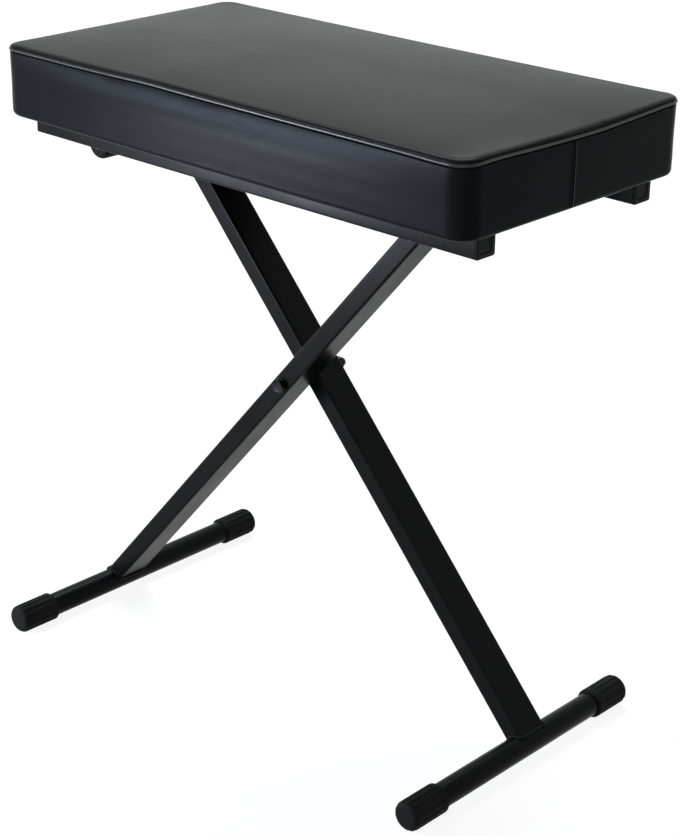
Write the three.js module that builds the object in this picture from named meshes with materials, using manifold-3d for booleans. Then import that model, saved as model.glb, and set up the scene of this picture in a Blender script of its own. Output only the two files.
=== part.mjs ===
// Folding keyboard bench: a padded seat on two rails, carried by a pair of crossed legs.
// Millimetres, +Z up, X along the seat, and the floor at zero height.
import * as THREE from "three";
import { mergeVertices } from "three/addons/utils/BufferGeometryUtils.js";
import Module from "manifold-3d";

const wasm = await Module();
wasm.setup();

// Fits and clearances
const restGap = 0.3; // between pieces that touch, rest or are welded
const slideGap = 0.2; // between a plug, cap or bolt and the hole or tube it fits
const overrun = 5; // how far a cut runs past the face it goes through

// Frame tubes
const legDepth = 20; // across the leg, in the plane of the X
const legWidth = 38.5; // along the feet
const legWall = 1.5;
const legCorner = 2;
const legGap = 4; // between the two legs at the pivot
const crossRadius = 12.7; // foot tubes and top cross tubes
const crossWall = 1.5;

// Stance: how high the legs cross, how they lean from the floor and how far the seat runs past them
const pivotHeight = 339.8;
const frontLegLean = THREE.MathUtils.degToRad(49.23);
const rearLegLean = THREE.MathUtils.degToRad(47.64);
const frontFootSetback = 3.1; // the foot tube's axis off the leg's middle
const rearFootSetback = -0.9;
const hingeOverRail = 10.6; // hinge axis above the rails' lower face, at the top of the front leg
const barUnderRail = 5.7; // height bar's axis below that face, at the top of the rear leg
const barOverhang = 75.38; // of the seat's seam past the height bar's axis
const hingeOverhang = 123.46; // of the seam past the hinge's axis
const weldLift = 2; // how far short of a cross tube's axis a leg stops

// Feet
const frontFootLength = 363;
const rearFootLength = 340;
const capRadius = 15.65;
const capLength = 48.6;
const capEndWall = 5;
const capChamfer = 2;
const capRoundness = 5;
const capCollar = 5; // smooth band at the open end
const fluteDepth = 0.8;
const fluteCount = 14;

// Height bar at the top of the rear leg
const barCapLength = 30;
const barCapPlay = 1; // from the bar's capped ends to the rails

// Rails under the seat
const railWidth = 25.4;
const railHeight = 25.4;
const railWall = 1.5;
const railCorner = 2.5;
const railBottom = 569.9;
const railSetback = 29.25; // from the cushion's lower edge in to a rail's outer face
const railMargin = 9.8; // from that edge to a rail's end
const plugFlange = 2;
const plugDepth = 14;
const plugWall = 2;
const plugCorner = 1.5;
const plugRibCount = 3;
const plugRibHeight = 0.8;
const plugRibLength = 1.5;

// Seat board and its lining
const liningThickness = 0.6;
const boardMargin = 8.5; // from the cushion's lower edge in to the board
const boardThickness = 12;
const boardCorner = 14;

// Cushion
const seamDepth = 317.5; // at the seam round its top
const seamCorner = 17;
const baseTaper = 2; // how far its lower edge stands in from the seam
const baseCorner = 19;
const cushionLap = 2.2; // how far its lower edge hangs below the rails' upper face
const cushionSide = 67.6; // from the lower edge up to the seam
const lowerRoll = 5;
const sideBulge = 0.7;
const seamPinch = 1.2;
const shoulderHeight = 6.5;
const shoulderInset = 9;
const crownHeight = 4;

// Rail screws and the tee nuts they pull on
const railScrewRadius = 3;
const railScrewHeadRadius = 6;
const railScrewHeadHeight = 3.2;
const railScrewMargin = 83.7; // from a rail's end to its screw
const teeBarrelRadius = 4.4;
const teeFlangeRadius = 9;
const teeFlangeThickness = 1.2;

// Notched brackets that hold the height bar
const bracketThickness = 2.5;
const bracketSetback = 46.1; // from a rail's inner face to the notched flange
const bracketFlange = 22;
const bracketMargin = 20; // of plate past the outer notches
const notchCount = 3;
const notchPitch = 35;
const notchRadius = 13;
const notchDepth = 7;
const bracketScrewRadius = 2;
const bracketScrewHeadRadius = 4.2;
const bracketScrewHeadHeight = 2.4;
const bracketScrewLength = 13;

// Hinge at the top of the front leg
const axleRadius = 5;
const axlePlay = 1; // between an end of the axle and the rail's outer wall
const hingeBushLength = 20;
const hingeWasherRadius = 10.5;
const hingeWasherThickness = 1.6;

// Pivot where the legs cross
const pivotBoltRadius = 4;
const pivotHeadAcross = 13;
const pivotHeadHeight = 4.4;
const pivotNutAcross = 13;
const pivotNutHeight = 8;
const pivotNutCollar = 2;
const pivotBoltEnd = 2.4; // thread that stands out of the nut
const pivotSleeveWall = 1.8;
const pivotWasherRadius = 8;
const pivotWasherThickness = 1.4;
const pivotSpacerRadius = 9.6;

// Screw forms, as shares of a screw's own sizes
const screwTipShare = 0.8; // radius of its tip
const screwBrimShare = 0.25; // straight lower part of its domed head

// Facets
const tubeSides = 28;
const boltSides = 16;
const screwSides = 12;
const cornerSteps = 4;
const plugCornerSteps = 2;
const flutePoints = 4;
const roundSteps = 3;

// Places that follow from the sizes above
const legMiddle = (legGap + legWidth) / 2;
const railTop = railBottom + railHeight;
const hingeHeight = railBottom + hingeOverRail;
const barHeight = railBottom - barUnderRail;
const cushionBottom = railTop - cushionLap;
const liningBottom = railTop + restGap;
const boardBottom = liningBottom + liningThickness + restGap;
const boardTop = boardBottom + boardThickness;
const seamHeight = cushionBottom + cushionSide;
const barRise = barHeight - pivotHeight;
const hingeRise = hingeHeight - pivotHeight;
const barArm = barRise / Math.sin(rearLegLean);
const hingeArm = hingeRise / Math.sin(frontLegLean);
const barSpan = barArm * Math.cos(rearLegLean);
const hingeSpan = hingeArm * Math.cos(frontLegLean);
const seamLength = barOverhang + barSpan + hingeSpan + hingeOverhang;
const barX = barOverhang - seamLength / 2;
const hingeX = seamLength / 2 - hingeOverhang;
const pivotX = barX + barSpan;
const baseLength = seamLength - 2 * baseTaper;
const baseDepth = seamDepth - 2 * baseTaper;
const boardLength = baseLength - 2 * boardMargin;
const boardDepth = baseDepth - 2 * boardMargin;
const railLength = baseLength - 2 * railMargin;
const railOutside = baseDepth / 2 - railSetback;
const railMiddle = railOutside - railWidth / 2;
const railInside = railOutside - railWidth;
const railScrewX = railLength / 2 - railScrewMargin;
const bracketInside = railInside - bracketSetback;
const bracketBottom = barHeight + crossRadius + restGap;
const bracketTop = liningBottom - restGap;
const bracketHeadTop = bracketTop - bracketThickness - restGap;

// Finishes
const blackPaint = { color: 0x17181a, roughness: 0.35, metalness: 0.2 };
const blackVinyl = { color: 0x1b1d20, roughness: 0.5, metalness: 0 };
const blackRubber = { color: 0x141414, roughness: 0.85, metalness: 0 };
const blackPlastic = { color: 0x161617, roughness: 0.55, metalness: 0 };
const blackOxide = { color: 0x1f1f20, roughness: 0.4, metalness: 0.8 };
const zincSteel = { color: 0xa4a6a8, roughness: 0.35, metalness: 0.9 };
const plywood = { color: 0xb08a5a, roughness: 0.7, metalness: 0 };
const liningCloth = { color: 0x101011, roughness: 0.95, metalness: 0 };
const nylon = { color: 0x2a2a2b, roughness: 0.6, metalness: 0 };

// Joining and cutting

function toSolid(geometry) {
  const bare = geometry.index ? geometry.toNonIndexed() : geometry.clone();
  for (const attribute of Object.keys(bare.attributes)) {
    if (attribute !== "position") bare.deleteAttribute(attribute);
  }
  const merged = mergeVertices(bare);
  const mesh = new wasm.Mesh({
    numProp: 3,
    vertProperties: new Float32Array(merged.attributes.position.array),
    triVerts: new Uint32Array(merged.index.array),
  });
  return new wasm.Manifold(mesh);
}

function toGeometry(solid) {
  const mesh = solid.getMesh();
  const geometry = new THREE.BufferGeometry();
  geometry.setAttribute("position", new THREE.BufferAttribute(mesh.vertProperties, 3));
  geometry.setIndex(new THREE.BufferAttribute(mesh.triVerts, 1));
  geometry.computeVertexNormals();
  return geometry;
}

function cut(body, tools) {
  let solid = toSolid(body);
  for (const tool of tools) solid = solid.subtract(toSolid(tool));
  return toGeometry(solid);
}

function join(bodies) {
  let solid = toSolid(bodies[0]);
  for (const body of bodies.slice(1)) solid = solid.add(toSolid(body));
  return toGeometry(solid);
}

// Basic forms

function piece(parent, name, geometry, finish) {
  const mesh = new THREE.Mesh(geometry, new THREE.MeshStandardMaterial(finish));
  mesh.name = name;
  parent.add(mesh);
  return mesh;
}

function roundedRectangle(width, height, corner) {
  const right = width / 2 - corner;
  const top = height / 2 - corner;
  const quarter = Math.PI / 2;
  const shape = new THREE.Shape();
  shape.absarc(right, top, corner, 0, quarter);
  shape.absarc(-right, top, corner, quarter, 2 * quarter);
  shape.absarc(-right, -top, corner, 2 * quarter, 3 * quarter);
  shape.absarc(right, -top, corner, 3 * quarter, 4 * quarter);
  shape.closePath();
  return shape;
}

// Extrudes a shape from zero along +Z.
function extrude(shape, length, curveSegments = cornerSteps) {
  const options = { depth: length, steps: 1, curveSegments, bevelEnabled: false };
  return new THREE.ExtrudeGeometry(shape, options);
}

// A square or flat tube with round corners, along +Z from zero.
function boxTube(width, height, wall, corner, length) {
  const shape = roundedRectangle(width, height, corner);
  const bore = roundedRectangle(width - 2 * wall, height - 2 * wall, corner - wall / 2);
  shape.holes.push(new THREE.Path(bore.getPoints(cornerSteps).reverse()));
  return extrude(shape, length);
}

// A solid of revolution about Y, from radius and height pairs that start and end on the axis.
function turned(profile, sides) {
  const points = profile.map(([radius, height]) => new THREE.Vector2(radius, height));
  return new THREE.LatheGeometry(points, sides);
}

// A ring or open tube about Y.
function sleeve(outerRadius, innerRadius, length, sides = boltSides) {
  const profile = [
    [innerRadius, 0],
    [outerRadius, 0],
    [outerRadius, length],
    [innerRadius, length],
    [innerRadius, 0],
  ];
  return turned(profile, sides);
}

function rod(radius, length, sides = boltSides) {
  const geometry = new THREE.CylinderGeometry(radius, radius, length, sides);
  geometry.translate(0, length / 2, 0);
  return geometry;
}

// A hexagonal bar about Y, given the size across its flats.
function hexagon(across, height) {
  const radius = across / Math.sqrt(3);
  const geometry = new THREE.CylinderGeometry(radius, radius, height, 6);
  geometry.translate(0, height / 2, 0);
  return geometry;
}

// A rounded rectangle at one height, as a ring of points that starts on the right side.
function roundedRing(length, depth, corner, height, steps) {
  const ring = [];
  const quarters = [
    [1, 1],
    [-1, 1],
    [-1, -1],
    [1, -1],
  ];
  quarters.forEach(([x, y], quarter) => {
    for (let step = 0; step <= steps; step++) {
      const angle = (Math.PI / 2) * (quarter + step / steps);
      ring.push(
        new THREE.Vector3(
          x * (length / 2 - corner) + corner * Math.cos(angle),
          y * (depth / 2 - corner) + corner * Math.sin(angle),
          height,
        ),
      );
    }
  });
  return ring;
}

// A skin through rings that all have the same number of points, with a flat fan at each end.
function loft(rings) {
  const count = rings[0].length;
  const positions = [];
  const faces = [];
  for (const ring of rings) {
    for (const point of ring) positions.push(point.x, point.y, point.z);
  }
  for (let row = 0; row + 1 < rings.length; row++) {
    for (let step = 0; step < count; step++) {
      const here = row * count + step;
      const next = row * count + ((step + 1) % count);
      faces.push(here, next, next + count, here, next + count, here + count);
    }
  }
  const addFan = (ring, start, facesUp) => {
    const centre = new THREE.Vector3();
    for (const point of ring) centre.addScaledVector(point, 1 / count);
    const middle = positions.length / 3;
    positions.push(centre.x, centre.y, centre.z);
    for (let step = 0; step < count; step++) {
      const here = start + step;
      const next = start + ((step + 1) % count);
      if (facesUp) faces.push(middle, here, next);
      else faces.push(middle, next, here);
    }
  };
  addFan(rings[0], 0, false);
  addFan(rings[rings.length - 1], (rings.length - 1) * count, true);
  const geometry = new THREE.BufferGeometry();
  geometry.setAttribute("position", new THREE.Float32BufferAttribute(positions, 3));
  geometry.setIndex(faces);
  geometry.computeVertexNormals();
  return geometry;
}

// Rubber cap over a tube's end, about +Z, open at zero and closed at its length.
function rubberCap(length, flutes, depth) {
  const bore = crossRadius + slideGap;
  const count = flutes * flutePoints;
  const lastStraight = length - capRoundness;
  const rows = [
    { radius: bore, height: length - capEndWall, groove: 0 },
    { radius: bore, height: 0, groove: 0 },
    { radius: capRadius - capChamfer, height: 0, groove: 0 },
    { radius: capRadius, height: capChamfer, groove: 0 },
    { radius: capRadius, height: capCollar, groove: 0 },
    { radius: capRadius, height: capCollar + depth, groove: depth },
    { radius: capRadius, height: lastStraight, groove: depth },
  ];
  for (let step = 1; step <= roundSteps; step++) {
    const turn = (Math.PI / 2) * (step / roundSteps);
    rows.push({
      radius: capRadius - capRoundness * (1 - Math.cos(turn)),
      height: lastStraight + capRoundness * Math.sin(turn),
      groove: depth * (1 - step / roundSteps),
    });
  }
  const rings = rows.map(({ radius, height, groove }) => {
    const ring = [];
    for (let step = 0; step < count; step++) {
      const angle = (2 * Math.PI * step) / count;
      const isGroove = step % flutePoints >= flutePoints / 2;
      const reach = radius - (isGroove ? groove : 0);
      ring.push(new THREE.Vector3(reach * Math.cos(angle), reach * Math.sin(angle), height));
    }
    return ring;
  });
  return loft(rings);
}

// Both caps of a tube that lies along Y.
function addCaps(parent, name, overall, length, flutes, depth) {
  for (const [end, side] of [["near", -1], ["far", 1]]) {
    const cap = piece(parent, `${name}_${end}`, rubberCap(length, flutes, depth), blackRubber);
    cap.rotation.x = (-side * Math.PI) / 2;
    cap.position.y = side * (overall / 2 - length);
  }
}

// A round tube that lies along Y and ends inside the caps of that overall length.
function crossTube(overall, endWall) {
  const length = overall - 2 * (endWall + restGap);
  const geometry = sleeve(crossRadius, crossRadius - crossWall, length, tubeSides);
  geometry.translate(0, -length / 2, 0);
  return geometry;
}

// Legs

// A cutting cylinder along Y through a leg, at an offset across it and a place along it.
function cutAcross(radius, across, along) {
  const length = legWidth + 2 * overrun;
  const tool = rod(radius, length, tubeSides);
  tool.translate(across, -length / 2, along);
  return tool;
}

// One leg tube along its group's Z, coped to the tubes at its ends and drilled at the pivot.
function legTube(upperArm, lowerArm, footSetback) {
  const lowest = -lowerArm + weldLift;
  const length = upperArm - weldLift - lowest;
  const tube = boxTube(legDepth, legWidth, legWall, legCorner, length);
  tube.translate(0, 0, lowest);
  const weldRadius = crossRadius + restGap;
  return cut(tube, [
    cutAcross(weldRadius, 0, upperArm),
    cutAcross(weldRadius, footSetback, -lowerArm),
    cutAcross(pivotBoltRadius + slideGap + pivotSleeveWall + slideGap, 0, 0),
  ]);
}

// Places a leg's group at the pivot and leans it, then adds its tube, foot, caps and pivot sleeve.
function buildLeg({ parent, name, lean, side, footSetback, footLength, upperArm }) {
  const group = new THREE.Group();
  const tilt = side * (Math.PI / 2 - lean);
  group.position.set(pivotX, 0, pivotHeight);
  group.rotation.y = tilt;
  parent.add(group);

  const drop = pivotHeight - capRadius - footSetback * Math.sin(tilt);
  const lowerArm = drop / Math.cos(tilt);
  const tube = piece(group, `${name}_leg`, legTube(upperArm, lowerArm, footSetback), blackPaint);
  tube.position.y = -side * legMiddle;

  const foot = new THREE.Group();
  foot.position.set(footSetback, 0, -lowerArm);
  group.add(foot);
  piece(foot, `${name}_foot_tube`, crossTube(footLength, capEndWall), blackPaint);
  addCaps(foot, `${name}_foot_cap`, footLength, capLength, fluteCount, fluteDepth);

  const boreRadius = pivotBoltRadius + slideGap;
  const pivotSleeve = sleeve(boreRadius + pivotSleeveWall, boreRadius, legWidth);
  const sleevePiece = piece(group, `${name}_pivot_sleeve`, pivotSleeve, zincSteel);
  sleevePiece.position.y = -side * legMiddle - legWidth / 2;
  return group;
}

// Round bar at the top of the rear leg, with a rubber cap on each end.
function addHeightBar(rearLeg) {
  const bar = new THREE.Group();
  const overall = 2 * (railInside - barCapPlay);
  const plainSides = tubeSides / flutePoints;
  bar.position.z = barArm;
  rearLeg.add(bar);
  piece(bar, "height_bar", crossTube(overall, capEndWall), blackPaint);
  addCaps(bar, "height_bar_cap", overall, barCapLength, plainSides, 0);
}

// Cross tube at the top of the front leg, with the bushes that turn on the axle.
function addHinge(frontLeg) {
  const hinge = new THREE.Group();
  const tubeHalf = railInside - 2 * restGap - hingeWasherThickness;
  const tubeBore = crossRadius - crossWall;
  hinge.position.z = hingeArm;
  frontLeg.add(hinge);
  const tube = sleeve(crossRadius, tubeBore, 2 * tubeHalf, tubeSides);
  tube.translate(0, -tubeHalf, 0);
  piece(hinge, "hinge_tube", tube, blackPaint);

  for (const [end, side] of [["near", -1], ["far", 1]]) {
    const bush = sleeve(tubeBore - slideGap, axleRadius + slideGap, hingeBushLength);
    const bushPiece = piece(hinge, `hinge_bush_${end}`, bush, nylon);
    bushPiece.position.y = side > 0 ? tubeHalf - hingeBushLength : -tubeHalf;

    const washer = sleeve(hingeWasherRadius, axleRadius + slideGap, hingeWasherThickness);
    const washerPiece = piece(hinge, `hinge_washer_${end}`, washer, nylon);
    const washerStart = tubeHalf + restGap;
    washerPiece.position.y = side > 0 ? washerStart : -washerStart - hingeWasherThickness;
  }
}

// Rod through the hinge tube. Its ends lie in the rails, whose outer walls keep it in place.
function addHingeAxle(seat) {
  const length = 2 * (railOutside - railWall - axlePlay);
  const axle = rod(axleRadius, length);
  axle.translate(0, -length / 2, 0);
  piece(seat, "hinge_axle", axle, zincSteel).position.set(hingeX, 0, hingeHeight);
}

// A dome-headed screw about Y: the head stands up from zero and the shank runs down.
function domedScrew(radius, headRadius, headHeight, length) {
  const profile = [
    [0, -length],
    [radius * screwTipShare, -length],
    [radius, -length + radius * (1 - screwTipShare)],
    [radius, 0],
    [headRadius, 0],
  ];
  const brim = headHeight * screwBrimShare;
  for (let step = 0; step <= roundSteps; step++) {
    const turn = (Math.PI / 2) * (step / roundSteps);
    const reach = headRadius * Math.cos(turn);
    const height = brim + (headHeight - brim) * Math.sin(turn);
    profile.push([step === roundSteps ? 0 : reach, height]);
  }
  return turned(profile, screwSides);
}

// Bolt, washers, spacer and nut of the pivot, all on the front leg.
function addPivot(frontLeg) {
  const frontFace = -legMiddle - legWidth / 2;
  const rearFace = legMiddle + legWidth / 2;
  const bore = pivotBoltRadius + slideGap;
  const headStart = frontFace - 2 * restGap - pivotWasherThickness;
  const nutStart = rearFace + 2 * restGap + pivotWasherThickness;

  const head = hexagon(pivotHeadAcross, pivotHeadHeight);
  head.translate(0, headStart - pivotHeadHeight, 0);
  const shankStart = headStart - pivotHeadHeight / 2;
  const shankEnd = nutStart + pivotNutHeight + pivotBoltEnd;
  const shank = rod(pivotBoltRadius, shankEnd - shankStart);
  shank.translate(0, shankStart, 0);
  piece(frontLeg, "pivot_bolt", join([head, shank]), blackOxide);

  const washer = sleeve(pivotWasherRadius, bore, pivotWasherThickness);
  const headWasher = piece(frontLeg, "pivot_head_washer", washer, blackOxide);
  headWasher.position.y = frontFace - restGap - pivotWasherThickness;
  const nutWasher = piece(frontLeg, "pivot_nut_washer", washer.clone(), blackOxide);
  nutWasher.position.y = rearFace + restGap;

  const spacer = sleeve(pivotSpacerRadius, bore, legGap - 2 * restGap);
  const spacerPiece = piece(frontLeg, "pivot_spacer", spacer, nylon);
  spacerPiece.position.y = -legGap / 2 + restGap;

  const hexPart = hexagon(pivotNutAcross, pivotNutHeight - pivotNutCollar);
  const collar = rod(pivotNutAcross / 2, pivotNutHeight);
  const nut = cut(join([hexPart, collar]), [boltHole(bore, pivotNutHeight)]);
  const nutPiece = piece(frontLeg, "pivot_nut", nut, blackOxide);
  nutPiece.position.y = nutStart;
}

// A cutting cylinder about Y that clears a piece of that length which starts at zero.
function boltHole(radius, length) {
  const tool = rod(radius, length + 2 * overrun);
  tool.translate(0, -overrun, 0);
  return tool;
}

// Seat frame

// A cutting cylinder along Z at a place in plan, from one height up to another.
function drill(radius, x, y, bottom, top) {
  const tool = rod(radius, top - bottom, screwSides);
  tool.rotateX(Math.PI / 2);
  tool.translate(x, y, bottom);
  return tool;
}

const railScrewPlaces = [
  ["front_rail_left", -railScrewX, -railMiddle],
  ["front_rail_right", railScrewX, -railMiddle],
  ["rear_rail_left", -railScrewX, railMiddle],
  ["rear_rail_right", railScrewX, railMiddle],
];

const bracketLength = (notchCount - 1) * notchPitch + 2 * bracketMargin;
const bracketScrewY = bracketInside + (bracketThickness + bracketFlange) / 2;
const bracketScrewPlaces = [
  ["front_bracket_left", barX - notchPitch, -bracketScrewY],
  ["front_bracket_right", barX + notchPitch, -bracketScrewY],
  ["rear_bracket_left", barX - notchPitch, bracketScrewY],
  ["rear_bracket_right", barX + notchPitch, bracketScrewY],
];

// A rail with the holes of its two screws, and the axle's hole in its inner wall alone.
function rail(side) {
  const tubeLength = railLength - 2 * plugFlange - 2 * restGap;
  const tube = boxTube(railHeight, railWidth, railWall, railCorner, tubeLength);
  tube.rotateY(Math.PI / 2);
  tube.translate(-tubeLength / 2, side * railMiddle, railBottom + railHeight / 2);
  const holeRadius = railScrewRadius + restGap;
  const tools = railScrewPlaces
    .filter(([, , y]) => Math.sign(y) === side)
    .map(([, x, y]) => drill(holeRadius, x, y, railBottom - overrun, railTop + overrun));
  const axleHole = rod(axleRadius + slideGap, railWidth / 2 + overrun);
  const holeStart = side > 0 ? railInside - overrun : -railMiddle;
  axleHole.translate(hingeX, holeStart, hingeHeight);
  return cut(tube, [...tools, axleHole]);
}

// Moulded plug that closes a rail's end, along +Z: a ribbed cup with its flange outermost.
function railPlug() {
  const ribInset = railWall + slideGap;
  const bodyInset = ribInset + plugRibHeight;
  const rows = [
    [bodyInset + plugWall, plugDepth],
    [bodyInset + plugWall, 0],
    [bodyInset, 0],
  ];
  for (let rib = 1; rib <= plugRibCount; rib++) {
    const top = (plugDepth * rib) / (plugRibCount + 1);
    rows.push([bodyInset, top - plugRibLength], [ribInset, top], [bodyInset, top]);
  }
  rows.push([bodyInset, plugDepth]);
  const rings = rows.map(([inset, height]) =>
    roundedRing(railHeight - 2 * inset, railWidth - 2 * inset, plugCorner, height, plugCornerSteps),
  );
  for (const height of [plugDepth, plugDepth + plugFlange]) {
    rings.push(roundedRing(railHeight, railWidth, railCorner, height, plugCornerSteps));
  }
  return loft(rings);
}

function addRails(seat) {
  for (const [name, side] of [["front_rail", -1], ["rear_rail", 1]]) {
    piece(seat, name, rail(side), blackPaint);
    for (const [end, way] of [["left", -1], ["right", 1]]) {
      const plug = piece(seat, `${name}_${end}_plug`, railPlug(), blackPlastic);
      plug.rotation.y = (way * Math.PI) / 2;
      const start = railLength / 2 - plugFlange - plugDepth;
      plug.position.set(way * start, side * railMiddle, railBottom + railHeight / 2);
    }
  }
}

function addRailScrews(seat) {
  const reach = boardTop - railBottom;
  for (const [name, x, y] of railScrewPlaces) {
    const screw = domedScrew(railScrewRadius, railScrewHeadRadius, railScrewHeadHeight, reach);
    const screwPiece = piece(seat, `${name}_screw`, screw, blackOxide);
    screwPiece.rotation.x = -Math.PI / 2;
    screwPiece.position.set(x, y, railBottom - restGap);

    const nut = teeNut();
    const nutPiece = piece(seat, `${name}_tee_nut`, nut, zincSteel);
    nutPiece.rotation.x = Math.PI / 2;
    nutPiece.position.set(x, y, boardBottom + restGap);
  }
}

// A tee nut about Y, barrel at zero and flange at the board's top.
function teeNut() {
  const height = boardThickness - restGap;
  const bore = railScrewRadius + slideGap;
  const underFlange = height - teeFlangeThickness;
  const profile = [
    [bore, 0],
    [teeBarrelRadius, 0],
    [teeBarrelRadius, underFlange],
    [teeFlangeRadius, underFlange],
    [teeFlangeRadius, height],
    [bore, height],
    [bore, 0],
  ];
  return turned(profile, screwSides);
}

// Board inside the cushion, with the tee nuts' stepped holes and the bracket screws' pilot holes.
function seatBoard() {
  const shape = roundedRectangle(boardLength, boardDepth, boardCorner);
  const board = extrude(shape, boardThickness, cornerSteps * 2);
  board.translate(0, 0, boardBottom);
  const holeBottom = boardBottom - overrun;
  const flangeSeat = boardTop - teeFlangeThickness - restGap;
  const pilotTop = bracketHeadTop + bracketScrewLength + restGap;
  const tools = [];
  for (const [, x, y] of railScrewPlaces) {
    tools.push(drill(teeBarrelRadius + restGap, x, y, holeBottom, boardTop + overrun));
    tools.push(drill(teeFlangeRadius + restGap, x, y, flangeSeat, boardTop + overrun));
  }
  for (const [, x, y] of bracketScrewPlaces) {
    tools.push(drill(bracketScrewRadius + slideGap, x, y, holeBottom, pilotTop));
  }
  return cut(board, tools);
}

// Black cloth under the board, pierced where the screws go through.
function lining() {
  const shape = roundedRectangle(boardLength, boardDepth, boardCorner);
  const cloth = extrude(shape, liningThickness, cornerSteps * 2);
  cloth.translate(0, 0, liningBottom);
  const top = liningBottom + liningThickness + overrun;
  const holes = railScrewPlaces.map(([, x, y]) => [railScrewRadius + restGap, x, y]);
  for (const [, x, y] of bracketScrewPlaces) holes.push([bracketScrewRadius + restGap, x, y]);
  return cut(cloth, holes.map(([radius, x, y]) => drill(radius, x, y, liningBottom - overrun, top)));
}

// Bent plate under the board: one flange is screwed up, the other has the notches for the bar.
function heightBracket(side) {
  const height = bracketTop - bracketBottom;
  const outer = bracketInside + bracketFlange;
  const profile = new THREE.Shape();
  profile.moveTo(bracketInside, 0);
  profile.lineTo(bracketInside + bracketThickness, 0);
  profile.lineTo(bracketInside + bracketThickness, height - bracketThickness);
  profile.lineTo(outer, height - bracketThickness);
  profile.lineTo(outer, height);
  profile.lineTo(bracketInside + bracketThickness, height);
  profile.absarc(
    bracketInside + bracketThickness,
    height - bracketThickness,
    bracketThickness,
    Math.PI / 2,
    Math.PI,
  );
  profile.closePath();
  const plate = extrude(profile, bracketLength);
  // The profile's across and up become the seat's Y and Z, and its length runs along X.
  plate.applyMatrix4(new THREE.Matrix4().makeBasis(
    new THREE.Vector3(0, 1, 0),
    new THREE.Vector3(0, 0, 1),
    new THREE.Vector3(1, 0, 0),
  ));
  plate.translate(barX - bracketLength / 2, 0, bracketBottom);
  if (side < 0) {
    plate.rotateZ(Math.PI);
    plate.translate(2 * barX, 0, 0);
  }
  const tools = [];
  for (let notch = 0; notch < notchCount; notch++) {
    const x = barX + (notch - (notchCount - 1) / 2) * notchPitch;
    const tool = rod(notchRadius, bracketThickness + 2 * overrun, tubeSides);
    const plateStart = side > 0 ? bracketInside : -bracketInside - bracketThickness;
    tool.translate(x, plateStart - overrun, bracketBottom + notchDepth - notchRadius);
    tools.push(tool);
  }
  for (const [, x, y] of bracketScrewPlaces) {
    if (Math.sign(y) === side) {
      tools.push(drill(bracketScrewRadius + slideGap, x, y, bracketBottom, bracketTop + overrun));
    }
  }
  return cut(plate, tools);
}

function addBrackets(seat) {
  piece(seat, "front_height_bracket", heightBracket(-1), blackOxide);
  piece(seat, "rear_height_bracket", heightBracket(1), blackOxide);
  for (const [name, x, y] of bracketScrewPlaces) {
    const screw = domedScrew(
      bracketScrewRadius,
      bracketScrewHeadRadius,
      bracketScrewHeadHeight,
      bracketScrewLength,
    );
    const screwPiece = piece(seat, `${name}_screw`, screw, blackOxide);
    screwPiece.rotation.x = -Math.PI / 2;
    screwPiece.position.set(x, y, bracketHeadTop);
  }
}

// Cushion

function cushionRing(length, depth, corner, height) {
  return roundedRing(length, depth, corner, height, 2 * cornerSteps);
}

// Foam and cover as one body: crowned top, shoulder over the seam, bulging sides, a rolled lower
// edge, and the pocket underneath that the board fills.
function cushion() {
  const pocketLength = boardLength + 2 * slideGap;
  const pocketDepth = boardDepth + 2 * slideGap;
  const pocketTop = boardTop + restGap;
  const rings = [
    cushionRing(pocketLength, pocketDepth, boardCorner, pocketTop),
    cushionRing(pocketLength, pocketDepth, boardCorner, cushionBottom),
  ];
  const rollInset = lowerRoll / 2;
  for (let step = 0; step < roundSteps; step++) {
    const turn = (Math.PI / 2) * (step / roundSteps);
    const inset = rollInset * (1 - Math.sin(turn));
    const height = cushionBottom + lowerRoll * (1 - Math.cos(turn));
    rings.push(cushionRing(baseLength - 2 * inset, baseDepth - 2 * inset, baseCorner, height));
  }
  const sideShares = [0, 0.2, 0.45, 0.7, 0.9];
  for (const share of sideShares) {
    const bulge = 2 * sideBulge * Math.sin(Math.PI * share);
    const length = THREE.MathUtils.lerp(baseLength, seamLength, share) + bulge;
    const depth = THREE.MathUtils.lerp(baseDepth, seamDepth, share) + bulge;
    const corner = THREE.MathUtils.lerp(baseCorner, seamCorner, share);
    const height = cushionBottom + lowerRoll + (cushionSide - lowerRoll) * share;
    rings.push(cushionRing(length, depth, corner, height));
  }
  rings.push(cushionRing(seamLength - 2 * seamPinch, seamDepth - 2 * seamPinch, seamCorner, seamHeight));
  for (let step = 1; step <= roundSteps; step++) {
    const turn = (Math.PI / 2) * (step / roundSteps);
    const inset = seamPinch + shoulderInset * (1 - Math.cos(turn));
    const height = seamHeight + shoulderHeight * Math.sin(turn);
    rings.push(cushionRing(seamLength - 2 * inset, seamDepth - 2 * inset, seamCorner, height));
  }
  const crownShares = [0.25, 0.5, 0.75];
  const crownStart = seamPinch + shoulderInset;
  for (const share of crownShares) {
    const inset = THREE.MathUtils.lerp(crownStart, seamDepth / 2 - seamCorner, share);
    const height = seamHeight + shoulderHeight + crownHeight * (1 - (1 - share) ** 2);
    rings.push(cushionRing(seamLength - 2 * inset, seamDepth - 2 * inset, seamCorner, height));
  }
  const plateau = cushionRing(
    seamLength - seamDepth + 2 * seamCorner,
    2 * seamCorner,
    seamCorner,
    seamHeight + shoulderHeight + crownHeight,
  );
  rings.push(plateau);
  return loft(rings);
}

function buildSeat(parent) {
  const seat = new THREE.Group();
  parent.add(seat);
  piece(seat, "seat_cushion", cushion(), blackVinyl);
  piece(seat, "seat_board", seatBoard(), plywood);
  piece(seat, "seat_lining", lining(), liningCloth);
  addRails(seat);
  addRailScrews(seat);
  addHingeAxle(seat);
  addBrackets(seat);
}

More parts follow.
